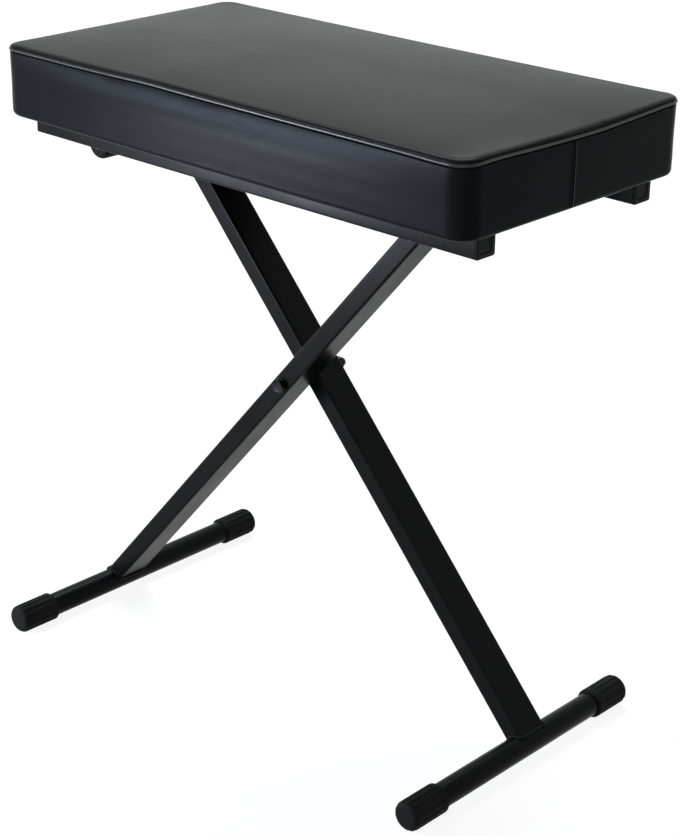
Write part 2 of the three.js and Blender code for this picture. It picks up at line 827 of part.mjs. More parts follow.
const bench = new THREE.Group();
const frontLeg = buildLeg({
  parent: bench,
  name: "front",
  lean: frontLegLean,
  side: 1,
  footSetback: frontFootSetback,
  footLength: frontFootLength,
  upperArm: hingeArm,
});
const rearLeg = buildLeg({
  parent: bench,
  name: "rear",
  lean: rearLegLean,
  side: -1,
  footSetback: rearFootSetback,
  footLength: rearFootLength,
  upperArm: barArm,
});
addHinge(frontLeg);
addPivot(frontLeg);
addHeightBar(rearLeg);
buildSeat(bench);

// The origin is on the floor under the middle of everything: the left foot's cap reaches
// furthest one way and the cushion the other.
bench.updateMatrixWorld(true);
const extent = new THREE.Box3().setFromObject(bench, true);
bench.position.x = -(extent.min.x + extent.max.x) / 2;

export default bench;
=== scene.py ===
"""Looks of a folding keyboard bench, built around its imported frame.

Metres, +Z up, X along the seat, the floor at zero height. Every visible part is its own piece,
and its object stays at the origin with its place in its mesh.
"""

import logging
import math
from dataclasses import asdict, dataclass
from enum import Enum
from typing import Callable, Sequence

import bmesh
import bpy
import numpy as np
from mathutils import Matrix, Vector
from mathutils.bvhtree import BVHTree
from mathutils.geometry import barycentric_transform

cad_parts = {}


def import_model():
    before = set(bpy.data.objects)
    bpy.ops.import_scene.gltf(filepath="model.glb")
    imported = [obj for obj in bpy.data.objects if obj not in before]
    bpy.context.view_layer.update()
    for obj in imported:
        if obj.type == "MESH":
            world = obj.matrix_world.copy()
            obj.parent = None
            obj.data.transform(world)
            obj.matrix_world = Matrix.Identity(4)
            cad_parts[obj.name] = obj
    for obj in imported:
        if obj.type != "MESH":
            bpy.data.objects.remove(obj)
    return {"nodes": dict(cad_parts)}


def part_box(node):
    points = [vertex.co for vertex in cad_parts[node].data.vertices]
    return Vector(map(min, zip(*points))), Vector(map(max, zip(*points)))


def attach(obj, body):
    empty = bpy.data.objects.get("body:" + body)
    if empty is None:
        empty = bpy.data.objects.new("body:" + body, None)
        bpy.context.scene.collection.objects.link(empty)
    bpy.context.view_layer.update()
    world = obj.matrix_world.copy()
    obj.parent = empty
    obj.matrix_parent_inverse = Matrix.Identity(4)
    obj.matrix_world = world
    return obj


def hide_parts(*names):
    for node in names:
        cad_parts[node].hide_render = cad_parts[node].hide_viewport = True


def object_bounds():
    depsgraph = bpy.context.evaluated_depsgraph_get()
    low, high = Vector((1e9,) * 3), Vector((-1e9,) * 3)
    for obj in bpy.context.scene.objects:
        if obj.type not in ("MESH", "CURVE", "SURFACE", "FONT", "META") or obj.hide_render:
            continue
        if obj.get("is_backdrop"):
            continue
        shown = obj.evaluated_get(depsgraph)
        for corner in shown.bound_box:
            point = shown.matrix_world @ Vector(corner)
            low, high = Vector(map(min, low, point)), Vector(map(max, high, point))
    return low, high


LOG = logging.getLogger("bench")
MM = 0.001
SIXTH_TURN = math.pi / 3
WHITE = (1.0, 1.0, 1.0, 1.0)


class Body(Enum):
    """The bodies of the frame, as the record names them."""

    FRONT_LEG = "front_leg_frame"
    REAR_LEG = "rear_leg_frame"
    SEAT = "seat"


class Slot(Enum):
    """The record's material slots."""

    VINYL = "vinyl"
    PAINT = "paint"
    RUBBER = "rubber"
    PLASTIC = "plastic"
    NYLON = "nylon"
    BLACK_STEEL = "black_steel"
    ZINC_STEEL = "zinc_steel"
    PLYWOOD = "plywood"
    LINING = "lining"


# Colours and node trees


def linear(colour: str) -> tuple[float, float, float, float]:
    """Turns a colour as seen on a screen into the renderer's values.

    Args:
        colour: six hex digits after a hash.

    Returns:
        Linear red, green, blue and an alpha of one.
    """
    parts = [int(colour[i : i + 2], 16) / 255 for i in (1, 3, 5)]
    light = [c / 12.92 if c <= 0.04045 else ((c + 0.055) / 1.055) ** 2.4 for c in parts]
    return (*light, 1.0)


def per_mm(size: float) -> float:
    """The texture scale at which a pattern repeats about every size millimetres."""
    return 1 / (size * MM)


def add_node(
    tree: bpy.types.NodeTree, kind: str, inputs: dict | None = None, **settings: object
) -> bpy.types.Node:
    """Adds a node, sets it and links it.

    Args:
        tree: the tree that gets the node.
        kind: the node's type name.
        inputs: by socket name or number, a value, or another node's socket to link from.
        **settings: the node's own properties.

    Returns:
        The node.
    """
    node = tree.nodes.new(kind)
    for key, value in settings.items():
        setattr(node, key, value)
    for key, value in (inputs or {}).items():
        if isinstance(value, bpy.types.NodeSocket):
            tree.links.new(value, node.inputs[key])
        else:
            node.inputs[key].default_value = value
    return node


# Finishes


def mottling(
    tree: bpy.types.NodeTree,
    place: bpy.types.NodeSocket,
    size: float,
    detail: float = 3.0,
    stretch: tuple[float, float, float] = (1.0, 1.0, 1.0),
) -> bpy.types.NodeSocket:
    """An uneven pattern.

    Args:
        tree: the material's tree.
        place: the coordinates that the pattern lies in.
        size: the features' size in millimetres.
        detail: how many finer layers it has.
        stretch: the coordinates' scale along each axis; below one draws the features out.

    Returns:
        The pattern, from zero to one.
    """
    mapped = add_node(tree, "ShaderNodeMapping", {"Vector": place, "Scale": stretch})
    values = {"Vector": mapped.outputs[0], "Scale": per_mm(size), "Detail": detail}
    return add_node(tree, "ShaderNodeTexNoise", values).outputs["Fac"]


@dataclass(frozen=True)
class Relief:
    """A height pattern, its depth in millimetres and how strongly it shows."""

    height: bpy.types.NodeSocket
    depth: float
    strength: float = 1.0


@dataclass(frozen=True)
class Finish:
    """A real surface finish that one material shows.

    Attributes:
        name: the material's name.
        slot: the record's slot it belongs to.
        dark: the darker of its two body colours.
        light: the lighter one.
        smoothest: the roughness where it's glossiest.
        roughest: the roughness where it's dullest.
    """

    name: str
    slot: Slot
    dark: str = "#0e0e0f"
    light: str = "#141415"
    smoothest: float = 0.6
    roughest: float = 0.75

    def material(self) -> bpy.types.Material:
        """The material, made when it's first asked for.

        Returns:
            The material, which all pieces of this finish share.
        """
        found = bpy.data.materials.get(self.name)
        if found:
            return found
        made = bpy.data.materials.new(self.name)
        made.use_nodes = True
        made.node_tree.nodes.clear()
        place = add_node(made.node_tree, "ShaderNodeTexCoord").outputs["Object"]
        shader = self.shade(made.node_tree, place)
        add_node(made.node_tree, "ShaderNodeOutputMaterial", {"Surface": shader.outputs[0]})
        return made

    def shade(self, tree: bpy.types.NodeTree, place: bpy.types.NodeSocket) -> bpy.types.Node:
        """Builds the surface shader.

        Args:
            tree: the material's tree.
            place: the object coordinates.

        Returns:
            The shader's node.
        """
        raise NotImplementedError

    def surface(
        self,
        tree: bpy.types.NodeTree,
        tint: bpy.types.NodeSocket,
        gloss: bpy.types.NodeSocket,
        reliefs: Sequence[Relief],
        window: tuple[float, float] = (0.3, 0.7),
        extras: dict | None = None,
    ) -> bpy.types.Node:
        """Builds the shader from the finish's patterns.

        Args:
            tree: the material's tree.
            tint: the pattern that takes the colour from dark to light.
            gloss: the pattern that takes the roughness from smoothest to roughest.
            reliefs: the surface's reliefs, each laid over the one before.
            window: the gloss pattern's values between which the roughness changes.
            extras: the shader's other inputs by name.

        Returns:
            The shader's node.
        """
        colours = {0: tint, 6: linear(self.dark), 7: linear(self.light)}
        ends = {"From Min": window[0], "From Max": window[1]}
        ends |= {"To Min": self.smoothest, "To Max": self.roughest}
        values = {
            "Base Color": add_node(tree, "ShaderNodeMix", colours, data_type="RGBA").outputs[2],
            "Roughness": add_node(tree, "ShaderNodeMapRange", {"Value": gloss, **ends}).outputs[0],
        }
        for relief in reliefs:
            under = {"Normal": values["Normal"]} if "Normal" in values else {}
            bump = {"Height": relief.height, "Distance": relief.depth * MM}
            bump |= {"Strength": relief.strength, **under}
            values["Normal"] = add_node(tree, "ShaderNodeBump", bump).outputs["Normal"]
        return add_node(tree, "ShaderNodeBsdfPrincipled", values | (extras or {}))


@dataclass(frozen=True)
class PowderCoat(Finish):
    """Semi-gloss black powder coat: a deep black with soft, slightly wavy reflections.

    Its orange peel repeats about every 1.6 mm, as on baked powder.
    """

    name: str = "black_powder_coat"
    slot: Slot = Slot.PAINT
    dark: str = "#08090a"
    light: str = "#0d0e10"
    smoothest: float = 0.27
    roughest: float = 0.35
    peel: float = 1.6
    peel_depth: float = 0.008
    patch: float = 60.0
    specular: float = 0.05

    def shade(self, tree: bpy.types.NodeTree, place: bpy.types.NodeSocket) -> bpy.types.Node:
        """The coat's orange peel over broad patches of gloss.

        Args:
            tree: the material's tree.
            place: the object coordinates.

        Returns:
            The shader's node.
        """
        patches = mottling(tree, place, self.patch)
        peel = Relief(mottling(tree, place, self.peel, 1.0), self.peel_depth)
        extras = {"Specular IOR Level": self.specular}
        return self.surface(tree, patches, patches, [peel], extras=extras)


@dataclass(frozen=True)
class Vinyl(Finish):
    """Black upholstery vinyl: fine leather grain, and a broad grey sheen where light grazes it.

    The grain's cells are about 1 mm wide and the foam under the cover ripples it every 5 mm or so.
    The pores are drawn coarser than real ones, which would be too fine to show.
    """

    name: str = "black_grained_vinyl"
    slot: Slot = Slot.VINYL
    dark: str = "#101215"
    light: str = "#15171a"
    smoothest: float = 0.22
    roughest: float = 0.26
    grain: float = 1.1
    grain_depth: float = 0.024
    crease: float = 0.25
    pore: float = 0.35
    pore_depth: float = 0.006
    ripple: float = 5.0
    ripple_stretch: tuple[float, float, float] = (0.5, 1.0, 1.0)
    ripple_depth: float = 0.03
    streak: float = 7.0
    streak_stretch: tuple[float, float, float] = (0.7, 1.0, 1.0)
    patch: float = 90.0
    window: tuple[float, float] = (0.15, 0.35)
    specular: float = 0.025
    sheen: float = 0.08
    sheen_roughness: float = 0.35
    sheen_tint: str = "#a8d8b0"

    def shade(self, tree: bpy.types.NodeTree, place: bpy.types.NodeSocket) -> bpy.types.Node:
        """Creases round the grain's cells, pores and soft ripples, under streaks of gloss.

        Args:
            tree: the material's tree.
            place: the object coordinates.

        Returns:
            The shader's node.
        """
        cells = add_node(
            tree,
            "ShaderNodeTexVoronoi",
            {"Vector": place, "Scale": per_mm(self.grain)},
            feature="DISTANCE_TO_EDGE",
        ).outputs["Distance"]
        creases = {"Value": cells, "From Min": 0.0, "From Max": self.crease}
        reliefs = [
            Relief(add_node(tree, "ShaderNodeMapRange", creases).outputs[0], self.grain_depth),
            Relief(mottling(tree, place, self.pore, 2.0), self.pore_depth),
            Relief(
                mottling(tree, place, self.ripple, 1.0, self.ripple_stretch), self.ripple_depth
            ),
        ]
        streaks = mottling(tree, place, self.streak, 4.0, self.streak_stretch)
        patches = mottling(tree, place, self.patch)
        both = add_node(tree, "ShaderNodeMath", {0: streaks, 1: patches}, operation="MULTIPLY")
        extras = {
            "Specular IOR Level": self.specular,
            "Sheen Weight": self.sheen,
            "Sheen Roughness": self.sheen_roughness,
            "Sheen Tint": linear(self.sheen_tint),
        }
        return self.surface(tree, patches, both.outputs[0], reliefs, self.window, extras)


@dataclass(frozen=True)
class Moulded(Finish):
    """Moulded rubber or plastic: an even body colour with the fine texture of its mould.

    The texture, 0.5 mm, is drawn coarser than a real mould's, which would be too fine to show.
    """

    texture: float = 0.5
    texture_depth: float = 0.02
    patch: float = 25.0
    specular: float = 0.07

    def shade(self, tree: bpy.types.NodeTree, place: bpy.types.NodeSocket) -> bpy.types.Node:
        """The mould's texture over faint patches of gloss.

        Args:
            tree: the material's tree.
            place: the object coordinates.

        Returns:
            The shader's node.
        """
        patches = mottling(tree, place, self.patch)
        texture = Relief(mottling(tree, place, self.texture, 2.0), self.texture_depth)
        extras = {"Specular IOR Level": self.specular}
        return self.surface(tree, patches, patches, [texture], extras=extras)


@dataclass(frozen=True)
class Steel(Finish):
    """Plated or blackened steel: metal gloss, mottled by its plating or oxide.

    The scratches, 0.4 mm apart, are drawn coarser than real ones, which would be too fine to show.
    """

    dark: str = "#141416"
    light: str = "#1f1f20"
    smoothest: float = 0.28
    roughest: float = 0.42
    mottle: float = 6.0
    scratch: float = 0.4
    scratch_stretch: tuple[float, float, float] = (0.2, 1.0, 1.0)
    scratch_depth: float = 0.006

    def shade(self, tree: bpy.types.NodeTree, place: bpy.types.NodeSocket) -> bpy.types.Node:
        """Mottled metal with fine scratches along X.

        Args:
            tree: the material's tree.
            place: the object coordinates.

        Returns:
            The shader's node.
        """
        mottle = mottling(tree, place, self.mottle, 4.0)
        scratches = mottling(tree, place, self.scratch, 2.0, self.scratch_stretch)
        reliefs = [Relief(scratches, self.scratch_depth)]
        return self.surface(tree, mottle, mottle, reliefs, extras={"Metallic": 1.0})


@dataclass(frozen=True)
class Plywood(Finish):
    """Raw plywood: long grain on the faces and the stripes of 2.4 mm veneers on the edges."""

    name: str = "raw_plywood"
    slot: Slot = Slot.PLYWOOD
    dark: str = "#8a643c"
    light: str = "#c29a68"
    veneer: float = 2.4
    warp: float = 0.4
    grain: float = 4.0
    grain_stretch: tuple[float, float, float] = (0.05, 1.0, 1.0)
    grain_depth: float = 0.06

    def shade(self, tree: bpy.types.NodeTree, place: bpy.types.NodeSocket) -> bpy.types.Node:
        """Long grain, crossed by the veneers' stripes up the edges.

        Args:
            tree: the material's tree.
            place: the object coordinates.

        Returns:
            The shader's node.
        """
        grain = mottling(tree, place, self.grain, 5.0, self.grain_stretch)
        # The wave's own pattern repeats 20 times faster than its scale says.
        layers = add_node(
            tree,
            "ShaderNodeTexWave",
            {"Vector": place, "Scale": per_mm(self.veneer) / 20, "Distortion": self.warp},
            bands_direction="Z",
        ).outputs["Fac"]
        both = add_node(tree, "ShaderNodeMath", {0: grain, 1: layers}, operation="MULTIPLY")
        return self.surface(tree, both.outputs[0], grain, [Relief(grain, self.grain_depth)])


@dataclass(frozen=True)
class LiningCloth(Finish):
    """Black non-woven dust cloth: matt, with a felted web of fibres.

    The fibres, 0.8 mm, are drawn coarser than real ones. The dimples are where they're bonded.
    """

    name: str = "black_dust_cloth"
    slot: Slot = Slot.LINING
    dark: str = "#0d0d0e"
    light: str = "#1c1c1d"
    smoothest: float = 0.8
    roughest: float = 0.95
    fibre: float = 0.8
    fibre_stretch: tuple[float, float, float] = (0.5, 1.0, 1.0)
    fibre_depth: float = 0.1
    dimple: float = 1.5
    dimple_strength: float = 0.5

    def shade(self, tree: bpy.types.NodeTree, place: bpy.types.NodeSocket) -> bpy.types.Node:
        """Felted fibres with the dimples that bond them.

        Args:
            tree: the material's tree.
            place: the object coordinates.

        Returns:
            The shader's node.
        """
        fibres = mottling(tree, place, self.fibre, 6.0, self.fibre_stretch)
        cells = {"Vector": place, "Scale": per_mm(self.dimple)}
        dimples = add_node(tree, "ShaderNodeTexVoronoi", cells).outputs["Distance"]
        reliefs = [
            Relief(fibres, self.fibre_depth),
            Relief(dimples, self.fibre_depth, self.dimple_strength),
        ]
        return self.surface(tree, fibres, dimples, reliefs)


PAINT = PowderCoat()
VINYL = Vinyl()
PIPING = Vinyl(
    name="black_vinyl_piping", grain_depth=0.01, smoothest=0.26, roughest=0.32, specular=0.3
)
RUBBER = Moulded(name="black_moulded_rubber", slot=Slot.RUBBER)
PLASTIC = Moulded(
    name="black_moulded_plastic",
    slot=Slot.PLASTIC,
    dark="#0c0d0e",
    light="#121314",
    smoothest=0.42,
    roughest=0.52,
)
NYLON = Moulded(
    name="dark_nylon",
    slot=Slot.NYLON,
    dark="#27282a",
    light="#313234",
    smoothest=0.45,
    roughest=0.55,
)
BLACK_STEEL = Steel(name="black_oxide_steel", slot=Slot.BLACK_STEEL)
ZINC = Steel(
    name="bright_zinc_steel",
    slot=Slot.ZINC_STEEL,
    dark="#8f9296",
    light="#b9bbbd",
    smoothest=0.22,
    roughest=0.36,
)
PLYWOOD = Plywood()
LINING = LiningCloth()


def settle(obj: bpy.types.Object, body: Body, finish: Finish, *nodes: str) -> bpy.types.Object:
    """Gives a finished piece its material and body.

    Args:
        obj: the piece.
        body: the body it moves with.
        finish: its finish.
        *nodes: the frame nodes that it stands for.

    Returns:
        The same piece.
    """
    obj.data.materials.clear()
    obj.data.materials.append(finish.material())
    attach(obj, body.value)
    if nodes:
        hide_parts(*nodes)
    LOG.info("%s: %d faces, %s", obj.name, len(obj.data.polygons), finish.name)
    return obj


# Meshes

# The most of a side that the rounding of one corner takes.
EASE_LIMIT = 0.49


def clamped(value: float) -> float:
    """The value, kept between zero and one."""
    return min(max(value, 0.0), 1.0)


def eased_share(value: float) -> float:
    """The value from zero to one with a soft start and end."""
    return clamped(value) ** 2 * (3 - 2 * clamped(value))


def box_and_middle(node: str) -> tuple[Vector, Vector, Vector]:
    """A frame node's lowest corner, its highest corner and its middle."""
    low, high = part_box(node)
    return low, high, (low + high) / 2


def linked(name: str, data: bpy.types.ID) -> bpy.types.Object:
    """An object for a mesh, a camera or a lamp, linked to the scene.

    Args:
        name: the object's name.
        data: what it shows.

    Returns:
        The object, at the origin.
    """
    obj = bpy.data.objects.new(name, data)
    bpy.context.scene.collection.objects.link(obj)
    return obj


def evaluated_mesh(obj: bpy.types.Object) -> bpy.types.Mesh:
    """A plain mesh of an object with its modifiers."""
    graph = bpy.context.evaluated_depsgraph_get()
    return bpy.data.meshes.new_from_object(obj.evaluated_get(graph))


def mesh_object(
    name: str, verts: Sequence, faces: Sequence, sharp: float = 35.0
) -> bpy.types.Object:
    """A closed piece from points and faces, welded, facing outwards and smooth-shaded.

    Args:
        name: the piece's name.
        verts: its points, in metres.
        faces: its faces, as lists of point numbers.
        sharp: the angle in degrees past which an edge stays crisp.

    Returns:
        The object, linked to the scene.
    """
    mesh = bpy.data.meshes.new(name)
    mesh.from_pydata([tuple(v) for v in verts], [], [tuple(int(i) for i in f) for f in faces])
    form = bmesh.new()
    form.from_mesh(mesh)
    bmesh.ops.remove_doubles(form, verts=form.verts, dist=2e-6)
    bmesh.ops.dissolve_degenerate(form, edges=form.edges, dist=1e-6)
    bmesh.ops.recalc_face_normals(form, faces=form.faces)
    form.to_mesh(mesh)
    form.free()
    mesh.shade_smooth()
    mesh.set_sharp_from_angle(angle=math.radians(sharp))
    return linked(name, mesh)


def skin_faces(rows: int, columns: int, around: bool) -> list[tuple[int, ...]]:
    """The faces of a skin through rings.

    Args:
        rows: the number of rings.
        columns: the points in each.
        around: true if the last ring joins the first; otherwise both ends get a flat lid.

    Returns:
        The faces, as point numbers.
    """
    faces = []
    for row in range(rows if around else rows - 1):
        here, after = row * columns, (row + 1) % rows * columns
        for column in range(columns):
            beside = (column + 1) % columns
            faces.append((here + column, here + beside, after + beside, after + column))
    if not around:
        faces.append(tuple(reversed(range(columns))))
        faces.append(tuple((rows - 1) * columns + c for c in range(columns)))
    return faces


def skin(name: str, rings: Sequence, around: bool = False) -> bpy.types.Object:
    """A piece skinned over rings of points.

    Args:
        name: the piece's name.
        rings: rows of points, the same number in each.
        around: true if the last ring joins the first, as in a tube with a wall.

    Returns:
        The object.
    """
    rings = np.asarray(rings, float)
    rows, columns = rings.shape[:2]
    return mesh_object(name, rings.reshape(-1, 3), skin_faces(rows, columns, around))


def eased(
    points: Sequence[tuple[float, float]], radius: float, around: bool = False, steps: int = 4
) -> list[tuple[float, ...]]:
    """Rounds the corners of a flat line of points.

    Args:
        points: the corners, in order.
        radius: how far back from a corner its rounding starts.
        around: true if the line is closed.
        steps: the number of pieces in a rounding.

    Returns:
        The new points.
    """
    corners = [Vector(p) for p in points]
    count = len(corners)
    out = []
    for i, corner in enumerate(corners):
        if not around and i in (0, count - 1):
            out.append(tuple(corner))
            continue
        start, stop = (
            corner + way.normalized() * min(radius, way.length * EASE_LIMIT)
            for way in (corners[i - 1] - corner, corners[(i + 1) % count] - corner)
        )
        for step in range(steps + 1):
            t = step / steps
            out.append(tuple(start * (1 - t) ** 2 + corner * 2 * t * (1 - t) + stop * t * t))
    return out


def turned(
    name: str,
    profile: Sequence[tuple[float, float]],
    centre: Sequence[float],
    axis: Vector = Vector((0, 1, 0)),
    sides: int = 64,
    around: bool = False,
    shape: Callable[[float, float, float], float] | None = None,
) -> bpy.types.Object:
    """A turned piece.

    Args:
        name: the piece's name.
        profile: pairs of radius and place along the axis, in metres.
        centre: the axis's zero point.
        axis: the way the axis points.
        sides: points round the piece.
        around: true if the profile closes on itself, as for a ring or a tube.
        shape: gives the radius from radius, place and angle where the piece isn't round.

    Returns:
        The object.
    """
    turn = Vector((0, 0, 1)).rotation_difference(axis).to_matrix()
    angles = [2 * math.pi * i / sides for i in range(sides)]
    rings = []
    for radius, place in profile:
        ring = []
        for angle in angles:
            reach = shape(radius, place, angle) if shape else radius
            point = Vector((reach * math.cos(angle), reach * math.sin(angle), place))
            ring.append(tuple(turn @ point + Vector(centre)))
        rings.append(ring)
    return skin(name, rings, around)


def ring_profile(
    inner: float, outer: float, start: float, stop: float, edge: float
) -> list[tuple[float, ...]]:
    """The closed profile of a ring or tube with eased edges."""
    corners = [(inner, start), (outer, start), (outer, stop), (inner, stop)]
    return eased(corners, edge, around=True)


def rounded_rectangle(
    width: float, height: float, corner: float, steps: int = 6, splits: int = 1
) -> list[tuple[float, float]]:
    """Points round a rectangle with round corners, in order, starting at the right side.

    Args:
        width: across the first axis.
        height: across the second axis.
        corner: the corners' radius.
        steps: pieces in each corner.
        splits: pieces in each straight side.

    Returns:
        The points as pairs.
    """
    arcs = []
    for quarter, (across, up) in enumerate(((1, 1), (-1, 1), (-1, -1), (1, -1))):
        middle = (across * (width / 2 - corner), up * (height / 2 - corner))
        for step in range(steps + 1):
            angle = math.pi / 2 * (quarter + step / steps)
            arcs.append(
                (middle[0] + corner * math.cos(angle), middle[1] + corner * math.sin(angle))
            )
    out = []
    for i, (x, y) in enumerate(arcs):
        out.append((x, y))
        if i % (steps + 1) == steps:
            after = arcs[(i + 1) % len(arcs)]
            for split in range(1, splits):
                t = split / splits
                out.append((x * (1 - t) + after[0] * t, y * (1 - t) + after[1] * t))
    return out


def path_object(name: str, points: Sequence, closed: bool) -> bpy.types.Object:
    """A line of edges for a geometry tree to follow.

    Args:
        name: the object's name.
        points: the line's points.
        closed: true if the last one joins the first.

    Returns:
        The object.
    """
    count = len(points)
    edges = [(i, (i + 1) % count) for i in range(count if closed else count - 1)]
    mesh = bpy.data.meshes.new(name)
    mesh.from_pydata([tuple(p) for p in points], edges, [])
    return linked(name, mesh)


def grown(obj: bpy.types.Object, group: bpy.types.NodeTree, values: dict) -> bpy.types.Object:
    """Runs a geometry tree on an object and keeps the result as a plain mesh.

    Args:
        obj: the object whose mesh the tree starts from.
        group: the geometry tree.
        values: the tree's inputs by name.

    Returns:
        The same object with its new mesh and no modifier.
    """
    modifier = obj.modifiers.new(group.name, "NODES")
    modifier.node_group = group
    for item in group.interface.items_tree:
        if item.in_out == "INPUT" and item.name in values:
            modifier[item.identifier] = values[item.name]
    obj.update_tag()
    bpy.context.view_layer.update()
    mesh = evaluated_mesh(obj)
    obj.modifiers.clear()
    obj.data = mesh
    mesh.name = obj.name
    return obj


class GrowthTree:
    """A geometry tree with named inputs that turns a line of edges into a coated mesh."""

    NAME = ""
    INPUTS: dict[str, str] = {}

    def __init__(self) -> None:
        """Builds the tree, from its sockets to its coated end."""
        self.group = bpy.data.node_groups.new(self.NAME, "GeometryNodeTree")
        face = self.group.interface
        inputs = {"Geometry": "Geometry", **self.INPUTS, "Seed": "Int", "Material": "Material"}
        for name, kind in inputs.items():
            face.new_socket(name, in_out="INPUT", socket_type=f"NodeSocket{kind}")
        face.new_socket("Geometry", in_out="OUTPUT", socket_type="NodeSocketGeometry")
        tree = self.group
        given = add_node(tree, "NodeGroupInput").outputs
        curve = add_node(tree, "GeometryNodeMeshToCurve", {"Mesh": given["Geometry"]})
        form = self.form(given, curve.outputs[0])
        real = add_node(tree, "GeometryNodeRealizeInstances", {0: form})
        coat = {"Geometry": real.outputs[0], "Material": given["Material"]}
        coated = add_node(tree, "GeometryNodeSetMaterial", coat)
        add_node(tree, "NodeGroupOutput", {0: coated.outputs[0]})

    def form(
        self, given: bpy.types.NodeOutputs, curve: bpy.types.NodeSocket
    ) -> bpy.types.NodeSocket:
        """Builds the form along the line.

        Args:
            given: the tree's inputs.
            curve: the line as a curve.

        Returns:
            The form's geometry.
        """
        raise NotImplementedError


class BeadTree(GrowthTree):
    """A geometry tree that sweeps a round bead along a line, with ripples across it."""

    NAME = "rippled_bead"
    INPUTS = dict.fromkeys(("Radius", "Spacing", "Ripple", "Pitch", "Wander"), "Float")
    SIDES = 16
    PATCH = 4.0

    def form(
        self, given: bpy.types.NodeOutputs, curve: bpy.types.NodeSocket
    ) -> bpy.types.NodeSocket:
        """Sweeps the bead and moves its skin in and out.

        Args:
            given: the tree's inputs.
            curve: the line as a curve.

        Returns:
            The bead's geometry.
        """
        tree = self.group
        steps = {"Curve": curve, "Length": given["Spacing"]}
        even = add_node(tree, "GeometryNodeResampleCurve", steps, mode="LENGTH")
        along = add_node(tree, "GeometryNodeSplineParameter").outputs["Length"]
        kept = add_node(tree, "GeometryNodeCaptureAttribute", {"Geometry": even.outputs[0]})
        kept.capture_items.new("FLOAT", "Along")
        tree.links.new(along, kept.inputs["Along"])
        round_section = {"Resolution": self.SIDES, "Radius": given["Radius"]}
        ring = add_node(tree, "GeometryNodeCurvePrimitiveCircle", round_section, mode="RADIUS")
        sweep = {"Curve": kept.outputs["Geometry"], "Profile Curve": ring.outputs[0]}
        swept = add_node(tree, "GeometryNodeCurveToMesh", sweep)
        place = add_node(tree, "GeometryNodeInputPosition").outputs[0]
        patches = add_node(
            tree,
            "ShaderNodeTexNoise",
            {"Vector": place, "W": given["Seed"], "Scale": per_mm(self.PATCH), "Detail": 1.0},
            noise_dimensions="4D",
        )
        ripples = (
            ("DIVIDE", given["Pitch"]),
            ("MULTIPLY", 2 * math.pi),
            ("SINE", 0.0),
            ("MULTIPLY", given["Ripple"]),
        )
        wanders = (("SUBTRACT", 0.5), ("MULTIPLY", given["Wander"]))
        moves = []
        for value, sums in (
            (kept.outputs["Along"], ripples),
            (patches.outputs["Fac"], wanders),
        ):
            for operation, other in sums:
                step = add_node(tree, "ShaderNodeMath", {0: value, 1: other}, operation=operation)
                value = step.outputs[0]
            moves.append(value)
        both = add_node(tree, "ShaderNodeMath", {0: moves[0], 1: moves[1]}, operation="ADD")
        outward = add_node(tree, "GeometryNodeInputNormal").outputs[0]
        reach = {0: outward, "Scale": both.outputs[0]}
        push = add_node(tree, "ShaderNodeVectorMath", reach, operation="SCALE")
        moved = {"Geometry": swept.outputs[0], "Offset": push.outputs[0]}
        skin_out = add_node(tree, "GeometryNodeSetPosition", moved)
        return add_node(tree, "GeometryNodeSetShadeSmooth", {0: skin_out.outputs[0]}).outputs[0]


class StapleTree(GrowthTree):
    """A geometry tree that sets staples at even steps along a line."""

    NAME = "staple_row"
    INPUTS = {"Spacing": "Float", "Size": "Vector", "Slant": "Float"}

    def form(
        self, given: bpy.types.NodeOutputs, curve: bpy.types.NodeSocket
    ) -> bpy.types.NodeSocket:
        """Sets a staple at each step, a little slanted.

        Args:
            given: the tree's inputs.
            curve: the line as a curve.

        Returns:
            The staples' geometry.
        """
        tree = self.group
        steps = {"Curve": curve, "Length": given["Spacing"]}
        places = add_node(tree, "GeometryNodeCurveToPoints", steps, mode="LENGTH")
        aligned = add_node(
            tree,
            "FunctionNodeAlignRotationToVector",
            {"Vector": places.outputs["Tangent"]},
            axis="X",
            pivot_axis="Z",
        )
        down = add_node(tree, "ShaderNodeMath", {0: given["Slant"], 1: -1.0}, operation="MULTIPLY")
        ends = {2: down.outputs[0], 3: given["Slant"], "Seed": given["Seed"]}
        slant = add_node(tree, "FunctionNodeRandomValue", ends, data_type="FLOAT")
        turn = add_node(tree, "ShaderNodeCombineXYZ", {"Z": slant.outputs[1]})
        slanted = add_node(
            tree,
            "FunctionNodeRotateRotation",
            {"Rotation": aligned.outputs[0], "Rotate By": turn.outputs[0]},
            rotation_space="LOCAL",
        )
        staple = add_node(tree, "GeometryNodeMeshCube", {"Size": given["Size"]})
        row = {
            "Points": places.outputs["Points"],
            "Instance": staple.outputs["Mesh"],
            "Rotation": slanted.outputs[0],
        }
        return add_node(tree, "GeometryNodeInstanceOnPoints", row).outputs[0]


@dataclass(frozen=True)
class Bead:
    """Sizes of a bead along a line, in metres, and the seed of its unevenness."""

    radius: float
    spacing: float
    ripple: float
    pitch: float
    wander: float
    seed: int

    def inputs(self, finish: Finish) -> dict:
        """The tree's inputs by name, with the finish's material."""
        values = {name.capitalize(): value for name, value in asdict(self).items()}
        return values | {"Material": finish.material()}


# Legs


@dataclass(frozen=True)
class LegSizes:
    """Sizes of one leg frame, in metres and degrees."""

    name: str
    body: Body
    lean: float
    side: int
    top_node: str
    depth: float = 0.020
    width: float = 0.0385
    corner: float = 0.002
    splits: int = 14
    sink: float = 0.00015
    cross_radius: float = 0.0127
    cross_wall: float = 0.0015
    cross_edge: float = 0.0004
    cross_sides: int = 96
    weld_reach: float = 0.002
    weld_grow: float = 0.0004
    weld_lift: float = 0.0003


